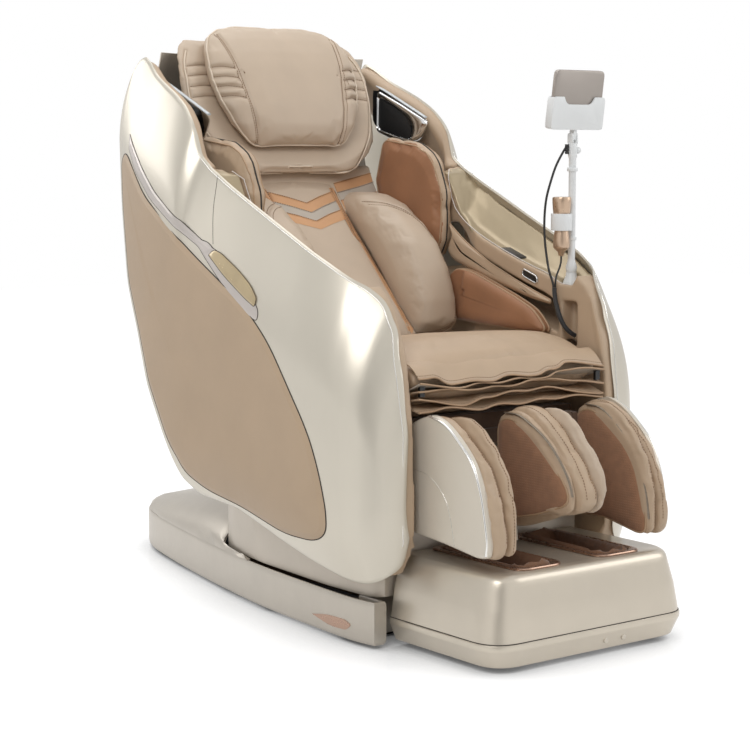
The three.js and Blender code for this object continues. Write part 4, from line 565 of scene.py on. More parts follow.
def inlaid(outline, spine, depths, place, top, bottom, steps=8):
    """Points and faces of a piece inside an outline whose face rises from the edge inwards. Its rings run from
    the edge, at set distances, to a spine line; place turns outline points and a height into points."""
    spine = route(spine, 8)
    goal, best = np.zeros_like(outline), np.full(len(outline), 1e9)
    for a, b in zip(spine[:-1], spine[1:]):
        d = b - a
        near = a + np.clip(((outline - a) @ d) / d.dot(d), 0, 1)[:, None] * d
        far = np.linalg.norm(outline - near, axis=1)
        goal[far < best] = near[far < best]
        best = np.minimum(best, far)
    rings = [outline]
    for depth in depths:
        low, high = np.zeros(len(outline)), np.ones(len(outline))
        for _ in range(12):
            middle = (low + high) / 2
            short = from_edge(outline + (goal - outline) * middle[:, None], outline) < depth
            low, high = np.where(short, middle, low), np.where(short, high, middle)
        rings.append(outline + (goal - outline) * low[:, None])
    last = rings[-1]
    rings += [last + (goal - last) * 0.97 * k / steps for k in range(1, steps + 1)]
    reach = [from_edge(ring, outline) for ring in rings]
    over = [place(ring, top(d)) for ring, d in zip(rings, reach)]
    under = [place(ring, bottom(d)) for ring, d in zip(rings, reach)]
    return rings_skin(over[::-1] + under)


def even(height):
    """A face that stays at one height over its whole outline."""
    return lambda d: 0 * d + height


def swell(base, height, reach):
    """A face that rises from its edge, fast at first and then ever slower."""
    return lambda d: base + height * np.sqrt(np.clip(d / reach, 0, 1))


def crown(base, height, reach):
    """A face that rises from its edge as a quarter round."""
    return lambda d: base + height * np.sqrt(np.clip(1 - (1 - np.clip(d / reach, 0, 1)) ** 2, 0, 1))


def on_shell(side):
    """Places an outline and its heights on the shell of one side."""
    return lambda ring, lift: mm([(side * x, y, z)
                                  for x, (y, z) in zip(shell_x(ring[:, 0], ring[:, 1]) + lift, ring)])


def upright(side, x, line):
    """A line of y and z places on an upright plane, all in millimetres, on one side of the chair."""
    return mm([(side * x, y, z) for y, z in line])


def bead(name, line, radius, material, body, slot, loop=False, flat=1.0, sides=8):
    """A welt, trim or cut line: a thin bar along a line of points in metres."""
    return put(name, tube(line, radius, sides, flat, loop), material, body, slot)


lacquer = finish("champagne_lacquer", rgb(205, 198, 184), 0.36, metal=0.62, vary=0.02, blotch=5, grain=0.00002,
                 grain_size=0.0005, coat=0.22, rough_vary=0.03)
bright_trim = finish("bright_trim", rgb(226, 224, 220), 0.22, metal=0.9, vary=0.02)
silver_trim = finish("silver_trim", rgb(196, 188, 182), 0.34, metal=0.55, vary=0.03)
gold_lens = finish("gold_lens", rgb(190, 170, 132), 0.25, metal=0.35, vary=0.1, blotch=22, coat=0.5)
INLAYS = (  # name, outline, spine, depths of the rings, face, finish and slot
    ("trim_", TRIM, [(330, 996), (200, 885), (100, 832), (0, 785)], (0.8, 2.0, 4.0), swell(0.2, 2.2, 6),
     silver_trim, "champagne"),
    ("lens_bezel_", BEZEL, [(10, 786), (-60, 745), (-120, 706), (-186, 664)], (0.8, 2.0, 5.0), swell(0.15, 1.5, 5),
     silver_trim, "champagne"),
    ("lens_", LENS, [(-50, 755), (-120, 718), (-180, 685)], (0.8, 2.5, 5.0), swell(1.5, 1.2, 5),
     gold_lens, "rose_gold"),
)
# Dark lines round the inlays and down the joint of the shell: name, line, thickness, height and loop.
GAPS = (("trim_gap_", TRIM, 0.0008, 0.1, True), ("bezel_gap_", BEZEL, 0.0009, 0.1, True),
        ("lens_gap_", LENS, 0.0007, 1.6, True),
        ("shell_joint_", route([[18, 930], [9, 905], [-4, 860], [-20, 815], [-29, 789]], 6), 0.0006, -0.1, False))
arm_edge = SHELL_RIM[(SHELL_RIM[:, 0] < 92) & (SHELL_RIM[:, 1] > np.where(SHELL_RIM[:, 0] < -300, 200, 640))]
arm_edge = arm_edge[np.argsort(arm_edge.sum(axis=1))] + (2.6, -3.0)
for side, name in SIDES:
    wall = side_skin(SHELL_RIM, side, crown(-WALL_HALF, WALL_HALF, WALL_HALF),
                     crown(-WALL_HALF, -WALL_HALF, WALL_HALF), rows=72, spacing=6.0,
                     fine=((80, 112, 2.0), (362, 430, 3.0), (-540, -430, 2.5)))
    put("shell_" + name, wall, lacquer, "carriage", "champagne", "side_shell_" + name, angle=50)
    lay_side = on_shell(side)
    bead("rim_line_" + name, lay_side(arm_edge, 0.1), 0.0010, bright_trim, "carriage", "champagne")
    for tag, outline, spine, depths, face, cover, slot in INLAYS:
        put(tag + name, inlaid(outline, spine, depths, lay_side, face, even(0.05), steps=4), cover, "carriage", slot,
            angle=50)
    for tag, line, thick, height, loop in GAPS:
        bead(tag + name, lay_side(line, height), thick, gap_shadow, "carriage", "black_gloss", loop=loop)

# ---------------------------------------------------------------------------
# Side panels. Thin foam boards covered in tan leather, each pressed into the
# shell with a bevelled edge and a narrow dark gap round it.
# ---------------------------------------------------------------------------
PANEL_RIM = rounded([[362, 982, 30], [252, 887, 30], [41, 768, 60], [-156, 670, 60], [-243, 600, 40], [-300, 530, 60],
                     [-369, 441, 60], [-405, 360, 60], [-426, 277, 30], [-422, 236, 30], [-382, 216, 30],
                     [-270, 214, 40], [-111, 244, 40], [20, 262, 40], [90, 290, 20], [150, 360, 20], [236, 474, 20],
                     [290, 588, 20], [354, 694, 30], [396, 862, 30], [404, 960, 24]])
PANEL_SPINE = ((-340, 290), (-200, 420), (60, 500), (230, 700), (350, 910))
HIDE = {"grain": 0.00012, "grain_size": 0.0016, "kind": "leather"}
panel_leather = finish("panel_leather", rgb(184, 160, 133), 0.5, vary=0.035, blotch=9, soft=0.0005, soft_size=0.09,
                       coat=0.08, **HIDE)


def board(d):
    """The panel's face: a small step at the edge, then a wide bevel."""
    return 0.15 + 1.0 * np.clip(d / 1.5, 0, 1) + 2.9 * np.clip((d - 1.5) / 12.0, 0, 1)


for side, name in SIDES:
    skin = inlaid(PANEL_RIM, PANEL_SPINE, (0.6, 1.5, 4.0, 8.0, 12.0, 13.5, 15.0, 20.0), on_shell(side), board,
                  even(0.1), steps=14)
    put("panel_" + name, skin, panel_leather, "carriage", "tan_leather", "side_panel_" + name)
    bead("panel_gap_" + name, on_shell(side)(PANEL_RIM, 0.1), 0.0013, gap_shadow, "carriage", "black_gloss",
         loop=True)

# ---------------------------------------------------------------------------
# Arms. Moulded liners covered in tan leather, with an olive champagne tray,
# a chrome-ringed key, a bare black charging pad and the wing's own lining.
# ---------------------------------------------------------------------------
liner_leather = finish("liner_leather", rgb(188, 164, 138), 0.5, vary=0.03, **HIDE)
tray_plastic = finish("tray_champagne", rgb(172, 156, 128), 0.34, metal=0.35, vary=0.03, **MATT)
chrome = finish("chrome", rgb(214, 214, 214), 0.12, metal=1.0, vary=0.02, rough_vary=0.02)
pad_black = finish("charging_pad", rgb(38, 38, 40), 0.42, vary=0.15, grain=0.00005, grain_size=0.0008)
speaker_cloth = finish("speaker_cloth", rgb(18, 18, 19), 0.8, vary=0.2, grain=0.0004, grain_size=0.0015, kind="holes")
light_strip = finish("light_strip", rgb(196, 202, 206), 0.3, vary=0.12, blotch=160, coat=0.4, grain=0.0004,
                     grain_size=0.004, kind="ribs")
RIM = curve([[-445, 692], [-383, 695], [-330, 716], [-270, 733], [-155, 772], [-60, 815], [-10, 858], [12, 905],
             [30, 935], [60, 946]])
TRAY_X, TRAY_FRONT, TRAY_REAR, TRAY_LIP = 271.5, -432, -8, 2.2
TRAY_EDGE = [(310, -441, 705), (290, -442, 700), (278, -438, 698.5)]
TRAY_EDGE += [(TRAY_X, y, float(RIM(y)) + TRAY_LIP) for y in range(TRAY_FRONT, TRAY_REAR, 8)]
TRAY_EDGE += [(TRAY_X + 6, 4, float(RIM(-2)) + 4), (282, 22, 922), (300, 40, 939)]
KEY_X, KEY_Z = 261.2, float(RIM(-285)) - 17
KEY = rounded([[-309, KEY_Z - 18, 8], [-261, KEY_Z - 2, 8], [-261, KEY_Z + 14, 8], [-309, KEY_Z - 2, 8]], steps=5)
WING = rounded([[60, 950, 6], [84, 966, 10], [109, 1034, 26], [152, 1076, 20], [203, 1104, 10], [295, 1144, 10],
                [348, 1176, 12], [380, 1186, 20], [402, 1148, 14], [414, 1098, 14], [300, 1000, 40], [200, 930, 30],
                [100, 900, 20], [62, 905, 10]])
RING_OUT = rounded([[306, 1128, 10], [214, 1093, 20], [122, 1054, 24], [126, 1040, 20], [150, 1002, 22],
                    [240, 1004, 20], [310, 1026, 12]], steps=6)
RING_IN = rounded([[302, 1108, 8], [252, 1089, 16], [206, 1066, 18], [180, 1038, 16], [186, 1010, 14],
                   [240, 1020, 14], [304, 1036, 10]], steps=6)
SPEAKER_X = 302.5
STRIP = route([[128, 1060], [170, 1078], [220, 1099], [270, 1120], [314, 1137]], 5)
PAD = rounded([[274.5, -226, 6], [310.5, -226, 6], [311.5, -168, 6], [275.5, -168, 6]], steps=4)
PAD_MIDDLE = np.array([293.0, -197.0])


def even_skin(piece, voxel, rounds):
    """Covers a piece with a skin of small even faces and eases it, by modifiers that are still to be applied."""
    cover = piece.modifiers.new("cover", "REMESH")
    cover.mode, cover.voxel_size = "VOXEL", voxel
    ease = piece.modifiers.new("ease", "SMOOTH")
    ease.factor, ease.iterations = 0.5, rounds


def in_tray(c, n):
    """Whether a face of the liner, by its centre and direction, lies in the storage tray."""
    return n.z > 0.1 and abs(c.x) > 0.27 and -0.424 < c.y < 0.05 and c.z > float(RIM(c.y * 1000)) / 1000 - 0.02


for side, name in SIDES:
    liner = copy_of("arm_liner_" + name, "liner_" + name)
    even_skin(liner, 0.0034, 9)
    liner.data = applied(liner)
    paint(liner.data, liner_leather, tray_plastic, in_tray)
    fit(liner, "carriage", "tan_leather", "arm_liner_" + name)
    moulded("quick_key_" + name, "key_" + name, "key_" + name, "black_gloss", switch_plastic, edge=0.001)
    dress(switch_plastic, "speaker_housing_" + name)
    bead("key_ring_" + name, upright(side, KEY_X, KEY), 0.0020, chrome, "carriage", "champagne", loop=True)
    bead("tray_edge_" + name, mm([(side * x, y, z) for x, y, z in TRAY_EDGE]), 0.0013, silver_trim, "carriage",
         "champagne")
    wing = side_skin(WING, side, even(-9.2), crown(-9.4, -34, 26), rows=40, spacing=6.0,
                     fine=((60, 112, 2.5), (360, 414, 3.0)))
    put("wing_" + name, wing, liner_leather, "carriage", "tan_leather")
    rings = [upright(side, SPEAKER_X - rise, RING_OUT + (RING_IN - RING_OUT) * t) for t, rise in
             ((0.0, 0), (0.04, 4), (0.2, 8.8), (0.45, 10.5), (0.7, 8.8), (0.94, 4), (1.0, 0))]
    put("speaker_ring_" + name, rings_skin(rings, loop=True), chrome, "carriage", "champagne", angle=70)
    rings = [upright(side, x, RING_IN + (RING_IN.mean(axis=0) - RING_IN) * t) for x, t in
             ((303.5, -0.02), (298.5, -0.02), (296.2, 0.12), (296.2, 0.9))]
    put("speaker_cloth_" + name, rings_skin(rings), speaker_cloth, "carriage", "black_gloss", angle=40)
    bead("light_strip_" + name, upright(side, 300, STRIP), 0.0050, light_strip, "carriage", "champagne", flat=0.5,
         sides=10)
rings = []
for grow, lift in ((1.0, -2.6), (1.0, -0.4), (0.94, 0.6), (0.04, 0.6)):
    rings.append(mm([(x, y, float(RIM(y)) + lift) for x, y in PAD_MIDDLE + (PAD - PAD_MIDDLE) * grow]))
put("charging_pad", rings_skin(rings), pad_black, "carriage", "black_gloss", angle=40)

# ---------------------------------------------------------------------------
# Stuffed pieces. Cut and sewn covers over foam: each is blown up a little
# from its pattern, then its seams and channels are drawn in and sewn.
# ---------------------------------------------------------------------------
PRESSURE, STRETCH, DRAWN_IN = 4.0, 20.0, 0.0015
UP_Y = (0, 1, 0)


def per_point(mesh, what="co"):
    """The place, or another vector, of each of a mesh's points."""
    out = np.zeros(len(mesh.vertices) * 3, np.float32)
    mesh.vertices.foreach_get(what, out)
    return out.reshape(-1, 3)


def blow_up(piece, cap):
    """Swells a cover with air, as cloth does, and holds each point's way to the cap."""
    flat = piece.data
    start = per_point(flat)
    cloth = piece.modifiers.new("cloth", "CLOTH")
    cloth.settings.use_pressure, cloth.settings.uniform_pressure_force = True, PRESSURE
    cloth.settings.effector_weights.gravity = 0.0
    cloth.settings.quality = 4
    cloth.settings.tension_stiffness = cloth.settings.compression_stiffness = STRETCH
    cloth.point_cache.frame_start, cloth.point_cache.frame_end = 1, 20
    for step in range(1, 14):
        scene.frame_set(step)
    move = per_point(applied(piece)) - start
    size = np.linalg.norm(move, axis=1)
    move *= (np.minimum(size, cap) / np.maximum(size, 1e-9))[:, None]
    flat.vertices.foreach_set("co", (start + move).astype(np.float32).ravel())
    flat.update()
    scene.frame_set(1)


def stuffed(node, name, body, slot, material, voxel=0.005, cap=0.006, fine=False, lines=(), width=0.004,
            depth=0.004, second=None, sort=None):
    """A cover blown up over its foam: the pattern's solid, drawn in a little, swelled and capped. Lines are
    laid on the cover from the front and drawn in as seams; they come back as they lie."""
    piece = copy_of(node, name)
    even_skin(piece, voxel, 6)
    draw_in = piece.modifiers.new("draw_in", "DISPLACE")
    draw_in.strength, draw_in.mid_level = -DRAWN_IN, 0.0
    piece.data = applied(piece)
    blow_up(piece, cap)
    if fine:
        piece.modifiers.new("fine", "SUBSURF").levels = 1
        piece.data = applied(piece)
    laid = []
    if lines:
        tree = surface(piece)
        press(piece.data, [lay(tree, line, UP_Y) for line in lines], width, depth)
        tree = surface(piece)
        laid = [lay(tree, line, UP_Y) for line in lines]
    paint(piece.data, material, second, sort)
    piece.data.name = name
    fit(piece, body, slot, node)
    return piece, laid


def surface(piece):
    """A piece's surface, for lines to be laid on."""
    return BVHTree.FromPolygons([v.co for v in piece.data.vertices], [tuple(f.vertices) for f in piece.data.polygons])


def lay(tree, points, way=None, lift=0.0):
    """Points moved along a direction until they touch a cover, or to its nearest place."""
    out = []
    for p in points:
        p = Vector([float(v) for v in p])
        hit = None
        if way is not None:
            hit, normal, _, _ = tree.ray_cast(p - Vector(way) * 0.5, Vector(way), 1.0)
        if hit is None:
            hit, normal, _, _ = tree.find_nearest(p)
        out.append(np.array(hit) + np.array(normal) * lift)
    return np.array(out)


def press(mesh, lines, width, depth):
    """Draws a cover in along its seams."""
    places = per_point(mesh).astype(float)
    reach = np.min([reach_to(places, line[:-1], line[1:]) for line in lines], axis=0)
    places -= per_point(mesh, "normal") * (depth * np.exp(-(reach / width) ** 2))[:, None]
    mesh.vertices.foreach_set("co", places.astype(np.float32).ravel())
    mesh.update()


def stitch_nodes():
    """Geometry nodes that lay short threads along every line of a mesh of lines."""
    tree = bpy.data.node_groups.new("stitches", "GeometryNodeTree")
    for label, way, kind in (("Geometry", "INPUT", "Geometry"), ("pitch", "INPUT", "Float"),
                             ("length", "INPUT", "Float"), ("thickness", "INPUT", "Float"),
                             ("thread", "INPUT", "Material"), ("Geometry", "OUTPUT", "Geometry")):
        tree.interface.new_socket(label, in_out=way, socket_type="NodeSocket" + kind)

    def geometry(kind, inputs, **settings):
        return add(tree, kind, inputs, family="GeometryNode", **settings).outputs

    given = add(tree, "NodeGroupInput", family="").outputs
    lines = geometry("MeshToCurve", {"Mesh": given["Geometry"]})
    spaced = geometry("ResampleCurve", {"Curve": lines["Curve"], "Length": given["pitch"]}, mode="LENGTH")
    thread = geometry("MeshCylinder", {"Vertices": 6, "Depth": given["length"], "Radius": given["thickness"]})
    along = geometry("InputTangent", {})
    turn = add(tree, "AlignRotationToVector", {"Vector": along["Tangent"]}, family="FunctionNode", axis="Z").outputs
    threads = geometry("InstanceOnPoints", {"Points": spaced["Curve"], "Instance": thread["Mesh"],
                                            "Rotation": turn["Rotation"]})
    real = geometry("RealizeInstances", {"Geometry": threads["Instances"]})
    coloured = geometry("SetMaterial", {"Geometry": real["Geometry"], "Material": given["thread"]})
    add(tree, "NodeGroupOutput", {"Geometry": coloured["Geometry"]}, family="")
    return tree


stitches = stitch_nodes()


def sew(name, lines, body, slot, pitch, length, thick=0.0007):
    """Stitches along lines that already lie on the covers, as one plain piece."""
    points, edges = [], []
    for line in lines:
        edges += [(len(points) + i, len(points) + i + 1) for i in range(len(line) - 1)]
        points += [tuple(map(float, p)) for p in line]
    mesh = bpy.data.meshes.new(name)
    mesh.from_pydata(points, edges, [])
    piece = bpy.data.objects.new(name, mesh)
    scene.collection.objects.link(piece)
    sewing = piece.modifiers.new("sewing", "NODES")
    sewing.node_group = stitches
    ids = {item.name: item.identifier for item in stitches.interface.items_tree if item.in_out == "INPUT"}
    for label, value in (("pitch", pitch), ("length", length), ("thickness", thick), ("thread", thread)):
        sewing[ids[label]] = value
    piece.data = applied(piece)
    piece.data.name = name
    return fit(piece, body, slot)


def flipped(side, points):
    """Points of the left side, or on the right side their mirror image."""
    return [(side * p[0], *p[1:]) for p in points]


def front_line(table, steps=6):
    """A smooth line through x and z places in millimetres, to be laid on a cover from the front."""
    return route(mm([(x, 0, z) for x, z in table]), steps)


tan = finish("tan_leather", rgb(188, 164, 138), 0.48, vary=0.04, soft=0.0008, soft_size=0.07, **HIDE)
taupe = finish("taupe_leather", rgb(196, 177, 156), 0.5, vary=0.03, soft=0.0007, soft_size=0.06, **HIDE)
lining = finish("brown_lining", rgb(150, 110, 82), 0.85, vary=0.1, blotch=60, grain=0.0006, grain_size=0.005,
                kind="holes", sheen=0.2)
brown_leather = finish("brown_leather", rgb(158, 112, 80), 0.6, vary=0.08, grain=0.00015, grain_size=0.0018,
                       kind="leather", sheen=0.1)
orange_leather = finish("orange_leather", rgb(206, 158, 116), 0.5, vary=0.05, **HIDE)
grey_leather = finish("grey_leather", rgb(186, 176, 163), 0.5, vary=0.04, **HIDE)
pale_welt = finish("pale_welt", rgb(222, 206, 186), 0.42, vary=0.03, grain=0.00006, coat=0.15)
tan_welt = finish("tan_welt", rgb(176, 146, 116), 0.5, vary=0.05, grain=0.00006)
thread = finish("thread", rgb(132, 102, 78), 0.7, vary=0.1, grain=0.0001, grain_size=0.0005)

# ---------------------------------------------------------------------------
# Seat. A crowned foam cushion in tan leather whose nose ends in a wavy lip,
# and below it three soft leather flaps that close the gap to the leg rest.
# ---------------------------------------------------------------------------
FLAP_HALF, FLAP_FRONT, FLAP_THICK = 0.247, -0.534, 0.0028
FASTENER = ((-522, 506), (-529, 506), (-529, 526), (-522, 526))
# Name, rear line, dip, leather, the solid it stands for, and the wavy front edge as x and z in millimetres.
FLAPS = (
    ("seat_lip", (-0.488, 0.5695), 0.004, tan, (),
     [[-250, 541], [-215, 545], [-163, 528], [-124, 527], [-67, 528], [2, 533], [60, 531], [100, 538], [138, 548],
      [187, 546], [250, 537]]),
    ("seat_flap_pale", (-0.486, 0.512), 0.001, grey_leather, (),
     [[-250, 532], [-163, 520], [0, 524], [84, 524], [138, 536], [250, 528]]),
    ("seat_flap_top", (-0.484, 0.502), 0.002, tan, ("seat_apron",),
     [[-250, 519], [-194, 516], [-139, 515], [-71, 512], [9, 515], [80, 521], [165, 508], [250, 500]]),
    ("seat_flap_middle", (-0.484, 0.492), 0.002, tan, (),
     [[-250, 501], [-212, 494], [-140, 483], [-84, 492], [-16, 499], [79, 501], [163, 488], [250, 478]]),
    ("seat_flap_low", (-0.484, 0.484), 0.0, tan, (),
     [[-250, 473], [-187, 480], [-104, 472], [-18, 476], [41, 476], [130, 479], [250, 472]]),
)


def flap(name, rear, dip, leather, nodes, edge):
    """A soft flap across the seat: from a straight rear line to a wavy front edge, with a sewn fold there.
    Returns the line of its stitches."""
    wave, t, half = curve(edge), np.linspace(0, 1, 9), np.array([0, 0, FLAP_THICK / 2])
    rings, fold, seam = [], [], []
    for x in np.linspace(-FLAP_HALF, FLAP_HALF, 110):
        high = float(wave(x * 1000)) / 1000
        front = FLAP_FRONT + 0.0025 * math.sin(x * 41 + high * 300)
        ripple = 0.0022 * t * np.sin(x * 57 + 3 * t + high * 200)
        line = np.stack([np.full(9, x), rear[0] + (front - rear[0]) * t,
                         rear[1] + (high - rear[1]) * t + dip * np.sin(math.pi * t) + ripple], 1)
        fold.append(line[-1])
        seam.append(line[-2] * 0.75 + line[-1] * 0.25 + half)
        rings.append([*(line + half), *(line[::-1] - half)])
    put(name, rings_skin(rings), leather, "carriage", "tan_leather", *nodes)
    bead(name + "_fold", fold, 0.0020, tan_welt, "carriage", "tan_leather")
    return seam


stuffed("seat_cushion", "seat_pad", "carriage", "tan_leather", tan, voxel=0.006, cap=0.008, fine=True)
flap_seams = {row[0]: flap(*row) for row in FLAPS}
sew("seat_stitches", [seam for name, seam in flap_seams.items() if name != "seat_flap_pale"], "carriage",
    "brown_fabric", pitch=0.006, length=0.0038)
for side, name in SIDES:
    put("flap_fastener_" + name, rings_skin([upright(side, x, FASTENER) for x in (241, 229)]), switch_plastic,
        "carriage", "black_gloss", angle=40)

# ---------------------------------------------------------------------------
# Back. Foam cushions on the back frame: a middle one with orange straps and
# chevrons, two lumbar wings, and bands that run out above them.
# ---------------------------------------------------------------------------
BACK = curve([[540, -120], [562, -105], [671, 5], [765, 100], [871, 205], [925, 240], [1000, 265], [1100, 300],
              [1200, 345]])
YOKE_HALF, YOKE_LOW, YOKE_HIGH = 236, 838, 946
STRAP_IN, STRAP_OUT = [(84, 570), (86, 680), (89, 800), (90, 915)], [(106, 570), (108, 680), (110, 800), (110, 915)]
LAYERS = (("high", orange_leather), ("grey", grey_leather), ("low", orange_leather))
# Heights of the lines between the layers, at each place across.
BAND_X, BAND_Z = (112, 180, 235), ((907, 920, 930), (886, 898, 909), (868, 878, 886), (846, 858, 868))
CHEVRON_X = (-88, -45, 0, 45, 88)
CHEVRON_Z = ((889, 878, 864, 878, 889), (868, 857, 843, 857, 868), (848, 838, 824, 838, 848),
             (826, 817, 805, 817, 826))
LUMBAR_SEAM = [(124, 866), (160, 862), (196, 842), (216, 800), (224, 740), (225, 660), (222, 610), (205, 582),
               (160, 572), (124, 571)]
LUMBAR_STITCH = [(124, 859), (158, 855), (190, 836), (209, 797), (217, 740), (218, 662), (214, 614), (199, 590),
                 (158, 579), (124, 578)]


def strip_on(name, tree, upper, lower, leather, rows=5):
    """A thin strip of leather laid on a cover from the front, between two lines with equal counts of points."""
    upper, lower, front = np.array(upper), np.array(lower), np.array([0.0, -1.0, 0.0])
    over, under = [], []
    for row in range(rows):
        laid = lay(tree, upper + (lower - upper) * row / (rows - 1), UP_Y)
        over.append(laid + front * (0.0006 + (0.0003 if row in (0, rows - 1) else 0.0012)))
        under.append(laid - front * 0.0006)
    rings = [[line[i] for line in over + under[::-1]] for i in range(len(upper))]
    return put(name, rings_skin(rings), leather, "backrest", "brown_fabric")


def thread_line(tree, line):
    """A line of thread on a strip that lies on a cover."""
    return lay(tree, line, UP_Y, 0.002)


back_pad, _ = stuffed("back_cushion", "back_pad", "backrest", "taupe_leather", taupe, cap=0.008, fine=True,
                      lines=[front_line(flipped(side, STRAP_IN)) for side, _ in SIDES], width=0.003, depth=0.0022)
rings = []
for z in np.linspace(YOKE_LOW, YOKE_HIGH, 24):
    y, xs = float(BACK(z)) + 6, np.linspace(-YOKE_HALF, YOKE_HALF, 34)
    end = 0 if YOKE_LOW + 4 < z < YOKE_HIGH - 4 else 6
    rings.append(mm([(x, y + 10 * (abs(x) / YOKE_HALF) ** 4 + end, z) for x in xs]
                    + [(x, y + 24, z) for x in xs[::-1]]))
yoke = put("back_yoke", rings_skin(rings), taupe, "backrest", "taupe_leather")
yoke_tree, pad_tree = surface(yoke), surface(back_pad)
seams = []
for side, name in SIDES:
    strip_on("strap_" + name, pad_tree, front_line(flipped(side, STRAP_IN)), front_line(flipped(side, STRAP_OUT)),
             orange_leather)
    for strap, inwards in ((STRAP_IN, 3), (STRAP_OUT, -3)):
        seams.append(thread_line(pad_tree, front_line(flipped(side, [(x + inwards, z) for x, z in strap]))))
    for (tag, leather), upper, lower in zip(LAYERS, BAND_Z, BAND_Z[1:]):
        upper, lower = (flipped(side, zip(BAND_X, row)) for row in (upper, lower))
        strip_on("band_%s_%s" % (tag, name), yoke_tree, front_line(upper), front_line(lower), leather)
        seams.append(thread_line(yoke_tree, front_line([(x, z - 2) for x, z in upper])))
for (tag, leather), upper, lower in zip(LAYERS, CHEVRON_Z, CHEVRON_Z[1:]):
    xs = np.linspace(CHEVRON_X[0], CHEVRON_X[-1], 41)
    upper, lower = (np.array(mm([(x, 0, z) for x, z in zip(xs, np.interp(xs, CHEVRON_X, row))]))
                    for row in (upper, lower))
    strip_on("chevron_" + tag, pad_tree, upper, lower, leather, rows=4)
    seams.append(thread_line(pad_tree, upper + (0, 0, -0.002)))
for side, name in SIDES:
    lumbar, laid = stuffed("lumbar_cushion_" + name, "lumbar_" + name, "backrest", "taupe_leather", taupe, cap=0.007,
                           fine=True, lines=[front_line(flipped(side, LUMBAR_SEAM))], depth=0.0035)
    seams += [laid[0] + (0, -0.001, 0), lay(surface(lumbar), front_line(flipped(side, LUMBAR_STITCH)), UP_Y, 0.0004)]
sew("back_stitches", seams, "backrest", "brown_fabric", pitch=0.0058, length=0.0038, thick=0.0006)

# ---------------------------------------------------------------------------
# Head rest and pillow. A wide sewn pad with a light welt round its middle
# panel, and a pillow with two sewn sides, channels and a welted edge.
# ---------------------------------------------------------------------------
HEAD_HALF = [(229, 1206), (244, 1177), (250, 1130), (250, 1084), (231, 1027), (197, 978), (160, 940), (128, 932),
             (60, 931)]
HEAD_WELT = flipped(-1, HEAD_HALF) + [(0, 931)] + HEAD_HALF[::-1]
HEAD_CHANNELS = [[(side * 168, z + 2), (side * 205, z + 3), (side * 243, z - 1)]
                 for side, _ in SIDES for z in (1102, 1126, 1150, 1172)]
PILLOW_HALF = curve([[988, 118], [1000, 138], [1040, 168], [1099, 194], [1150, 204], [1200, 200], [1236, 184],
                     [1256, 150], [1266, 104]])
PILLOW_FRONT = curve([[988, 214], [1000, 204], [1040, 202], [1099, 218], [1150, 240], [1200, 268], [1236, 296],
                      [1256, 316], [1266, 334]])
PILLOW_BACK = curve([[988, 236], [1000, 248], [1040, 272], [1099, 296], [1150, 316], [1200, 338], [1236, 354],
                     [1256, 360], [1266, 358]])


def pillow_seam(z, out=0):
    """Where the seam of the pillow's middle panel stands, or a line out from it."""
    return 112 + (z - 990) / 255 * 45 + out


def pillow_channel(z):
    """A sewn channel from the pillow's seam to its edge, rising a little on its way."""
    edge = float(PILLOW_HALF(z))
    return [(pillow_seam(z, 9), z), (pillow_seam(z) * .5 + edge * .5 + 3, z + 3), (edge - 5, z)]


head, laid = stuffed("head_pad", "head_rest", "backrest", "taupe_leather", taupe, fine=True,
                     lines=[front_line(line) for line in [HEAD_WELT] + HEAD_CHANNELS], width=0.0045)
bead("head_welt", laid[0] + (0, -0.0022, 0), 0.0021, pale_welt, "backrest", "taupe_leather")
sew("head_stitches", [line + (0, -0.0006, 0) for line in laid[1:]], "backrest", "brown_fabric", pitch=0.0055,
    length=0.0036, thick=0.0006)
lines = [front_line([(side * pillow_seam(z), z) for z in np.linspace(994, 1254, 14)], 4) for side, _ in SIDES]
lines += [front_line(flipped(side, pillow_channel(z))) for side, _ in SIDES for z in (1102, 1124, 1146, 1168)]
pillow, laid = stuffed("pillow", "head_pillow", "pillow", "taupe_leather", taupe, fine=True, lines=lines,
                       depth=0.0045)
pillow_tree = surface(pillow)
outer = [front_line([(side * pillow_seam(z, 7), z) for z in np.linspace(998, 1248, 14)], 4) for side, _ in SIDES]
seams = [line + (0, -0.0008, 0) for line in laid] + [lay(pillow_tree, line, UP_Y, 0.0005) for line in outer]
sew("pillow_stitches", seams, "pillow", "brown_fabric", pitch=0.0055, length=0.0037)
rim = [(float(PILLOW_HALF(z)), float(PILLOW_FRONT(z)) * .62 + float(PILLOW_BACK(z)) * .38, z)
       for z in (1000, 1020, 1040, 1070, 1099, 1125, 1150, 1175, 1200, 1220, 1240, 1254, 1262)]
rim += [(60, 338, 1268), (0, 338, 1270), (-60, 338, 1268)] + flipped(-1, rim)[::-1]
rim += [(-110, 222, 990), (-60, 220, 986), (0, 219, 986), (60, 220, 986), (110, 222, 990)]
loop = route(mm(rim + rim[:1]), 4)[:-1]
bead("pillow_welt", lay(pillow_tree, loop, None, 0.0008), 0.0022, pale_welt, "pillow", "taupe_leather", loop=True)

